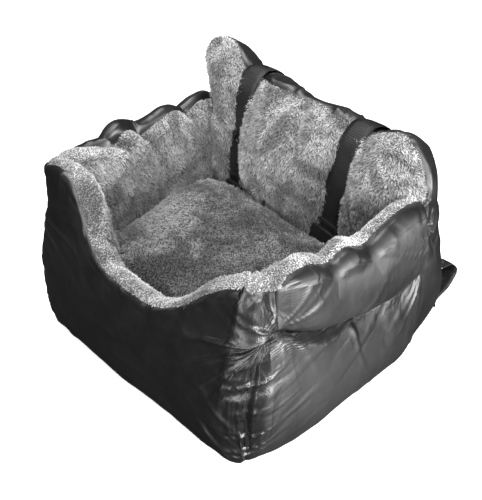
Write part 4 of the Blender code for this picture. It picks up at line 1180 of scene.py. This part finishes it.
def loop_path(side):
    """The middle line of a belt loop, standing out from the lower rear."""
    x = side * (half_width - 0.0175)
    over = max(abs(x) + 0.0125 - (half_width - rear_radius), 0.0)
    rear = back_y - rear_radius + math.sqrt(rear_radius ** 2 - over ** 2)
    rows = []
    for z, out in ((0.130, 0.0), (0.116, 0.0), (0.1076, 0.62), (0.0926, 0.97), (0.086, 1.0),
                   (0.0794, 0.97), (0.0644, 0.62), (0.056, 0.0), (0.042, 0.0)):
        seat = rear + rear_swell(z) - setback(z, back_lean) + 0.0035
        rows.append((x, seat + out * (0.2370 - seat), z))
    return rows


# ---------------------------------------------------------------- stitches
def stitch_tree():
    """Stitches of thread laid one after the other along a line, with a gap between them."""
    tree, start, end = node_tree("thread_stitches", (
        ("Pitch", FLOAT, 0.0032), ("Stitch length", FLOAT, 0.0024), ("Thread radius", FLOAT, 0.0003),
        ("Material", "NodeSocketMaterial", None)))
    line = fed(tree, "GeometryNodeMeshToCurve", {}, (0, start.outputs[0]))
    spots = joined(tree, "GeometryNodeCurveToPoints", {"mode": "LENGTH"}, (0, line),
                   ("Length", start.outputs["Pitch"]))
    thread = fed(tree, "GeometryNodeMeshCylinder", {}, ("Vertices", 6),
                 ("Radius", start.outputs["Thread radius"]), ("Depth", start.outputs["Stitch length"]))
    stitches = made_real(tree, planted(tree, spots.outputs[0], thread, spots.outputs["Tangent"]))
    coloured = fed(tree, "GeometryNodeSetMaterial", {}, (0, stitches),
                   ("Material", start.outputs["Material"]))
    tree.links.new(coloured, end.inputs[0])
    return tree


thread_stitches = stitch_tree()


def stitch_row(name, rows):
    """One piece holding rows of stitches, each along its own line of points."""
    points, edges = [], []
    for row in rows:
        first = len(points)
        points += [tuple(p) for p in row]
        edges += [(first + k, first + k + 1) for k in range(len(row) - 1)]
    mesh = bpy.data.meshes.new(name)
    mesh.from_pydata(points, edges, [])
    piece = linked(name, mesh)
    grow(piece, thread_stitches, {"Material": sewing_thread})
    return piece


def seam_threads():
    """Rows of stitches down both front corner seams."""
    rows = []
    z = np.linspace(0.008, 0.198, 140)
    for side, drawn in ((-1.0, left_drawn), (1.0, right_drawn)):
        w = side * seam_turn(z)
        crown = along_table(rim_table, w) * rim_height - rim_round
        line = np.stack([wall_point(w + aside, (z - foot_z) / (crown - foot_z))
                         for aside in (0.0, 0.01 * side)], 0)
        normal = normals_of(np.swapaxes(line, 0, 1))[:, 0]
        normal *= np.sign(normal[:, :1] * side)
        rows.append(line[0] + normal * (seam_groove(z, 0 * z, 0.0, drawn)[0] + 0.0003)[:, None])
    return stitch_row("corner_stitches", rows)


# ---------------------------------------------------------------- build everything
def dress(piece, body, slot, *nodes, fill=None):
    """Hang a finished piece on its body and hide the solids it stands for."""
    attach(piece, body)
    if nodes:
        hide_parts(*nodes)
    return piece


dress(front_shell(), "seat", "nylon", "front_nylon_panel", "front_filling", fill=0.75)
hands = (("right", 1.0), ("left", -1.0))
for hand, side in hands:
    dress(side_roll(side, hand + "_nylon_roll"), "seat", "nylon", hand + "_nylon_panel",
          hand + "_filling", fill=0.8)
for hand, side in hands:
    dress(side_lower(side, hand + "_nylon_wall"), "seat", "nylon", hand + "_nylon_panel", fill=0.6)
for hand, side in hands:
    dress(pocket(side, hand + "_pocket_cloth"), "seat", "nylon", hand + "_pocket_panel",
          hand + "_pocket_elastic")
dress(back_shell(), "seat", "nylon", "back_nylon_panel", "back_filling", fill=0.75)
for piece in back_lobes():
    dress(piece, "seat", "plush", "back_plush_lining", fill=0.8)
for hand, low, high, columns, seed in (("front", -1.62, 1.62, 150, 91), ("right", 1.60, 3.0, 100, 95),
                                       ("left", -3.0, -1.60, 100, 97)):
    dress(wall_lining(hand + "_plush", low, high, columns, seed), "seat", "plush",
          hand + "_plush_lining", fill=0.7)
dress(seam_threads(), "seat", "nylon")
dress(cushion(), "cushion", "cushion_plush", "cushion_cover", "cushion_filling", fill=0.7)
for hand, side, place, slope in (("left", -1.0, left_strap, 0.0226),
                                 ("right", 1.0, right_strap, 0.20)):
    dress(ribbon(hand + "_webbing", strap_path(place, slope), 0.038, 0.0034), "seat", "webbing",
          hand + "_strap")
    dress(ribbon(hand + "_loop_webbing", loop_path(side), 0.025, 0.0030), "seat", "webbing",
          hand + "_belt_loop")

for node_name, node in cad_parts.items():
    if node.hide_render:
        continue
    finish = (webbing_black if node_name.endswith(("_strap", "_loop", "_tab")) else
              plastic_black if node_name.endswith(("_housing", "_tongue", "_adjuster")) else
              grip_black if node_name == "base_grip_sheet" else black_nylon)
    for slot in node.material_slots:
        slot.material = finish


# ---------------------------------------------------------------- studio
def area_light(name, place, target, size, power):
    """A soft box of light aimed at a point."""
    data = bpy.data.lights.new(name, "AREA")
    data.shape = "RECTANGLE"
    data.size, data.size_y = size
    data.energy = power
    lamp = linked(name, data)
    lamp.location = place
    lamp.rotation_euler = (Vector(target) - Vector(place)).to_track_quat("-Z", "Y").to_euler()


def studio_floor():
    """A pale floor. The camera sees it even, and light that bounces off it comes mostly from one
    soft spot before the right pocket."""
    material, shader, tree = plain_material("studio_floor", 0.93, 0.9, specular=0.1)
    seen = joined(tree, "ShaderNodeLightPath", {}).outputs["Is Camera Ray"]
    body = joined(tree, "ShaderNodeTexCoord", {})
    distance = joined(tree, "ShaderNodeVectorMath", {"operation": "DISTANCE"},
                      (0, body.outputs["Object"]), (1, (0.50, -0.03, 0.0))).outputs["Value"]
    spot = fed(tree, "ShaderNodeMapRange", {"interpolation_type": "SMOOTHSTEP"},
               (0, distance), (1, 0.08), (2, 0.31), (3, 0.46), (4, 0.022))
    tree.links.new(mix_colours(tree, seen, spot, 0.95), shader.inputs["Base Color"])
    tree.links.new(maths(tree, "MULTIPLY", seen, 0.45), shader.inputs["Emission Strength"])
    shader.inputs["Emission Color"].default_value = (1.0, 1.0, 1.0, 1.0)
    reach, z = 6, -0.0005
    corners = [(-reach, -reach, z), (reach, -reach, z), (reach, reach, z), (-reach, reach, z)]
    make_piece("studio_floor", corners, [(0, 1, 2, 3)], material)


studio_floor()
world = bpy.data.worlds.new("studio")
world.use_nodes = True
world.node_tree.nodes["Background"].inputs[0].default_value = (1.0, 1.0, 1.0, 1.0)
world.node_tree.nodes["Background"].inputs[1].default_value = 0.08
bpy.context.scene.world = world

for name, place, target, size, power in (
        ("right_box", (2.3, 0.20, 0.40), (0.1, 0, 0.15), (1.2, 0.6), 120),
        ("top_box", (-0.2, -0.1, 2.2), (0, 0, 0.2), (1.5, 1.5), 75),
        ("high_box", (1.5, -0.9, 1.7), (-0.1, 0, 0.2), (0.9, 0.9), 45),
        ("rear_right_box", (1.9, 1.25, 0.35), (0.2, 0.0, 0.2), (1.2, 0.6), 24),
        ("front_box", (0.9, -2.2, 0.55), (0.1, -0.1, 0.15), (0.7, 0.6), 40),
        ("left_box", (-1.2, -1.6, 2.1), (0, 0, 0.15), (0.9, 0.9), 14)):
    area_light(name, place, target, size, power)

turn_about, rise_up, distance = math.radians(45.643), math.radians(35.002), 1.23955
target = Vector((0.0086, -0.0189, 0.1440))
away = Vector((math.sin(turn_about) * math.cos(rise_up), -math.cos(turn_about) * math.cos(rise_up),
               math.sin(rise_up)))
lens = bpy.data.cameras.new("photo_view")
lens.lens = 60.3
lens.sensor_width = 36.0
camera = linked("photo_view", lens)
camera.location = target + away * distance
camera.rotation_euler = (-away).to_track_quat("-Z", "Y").to_euler()
bpy.context.scene.camera = camera
bpy.context.scene.view_settings.view_transform = "Standard"
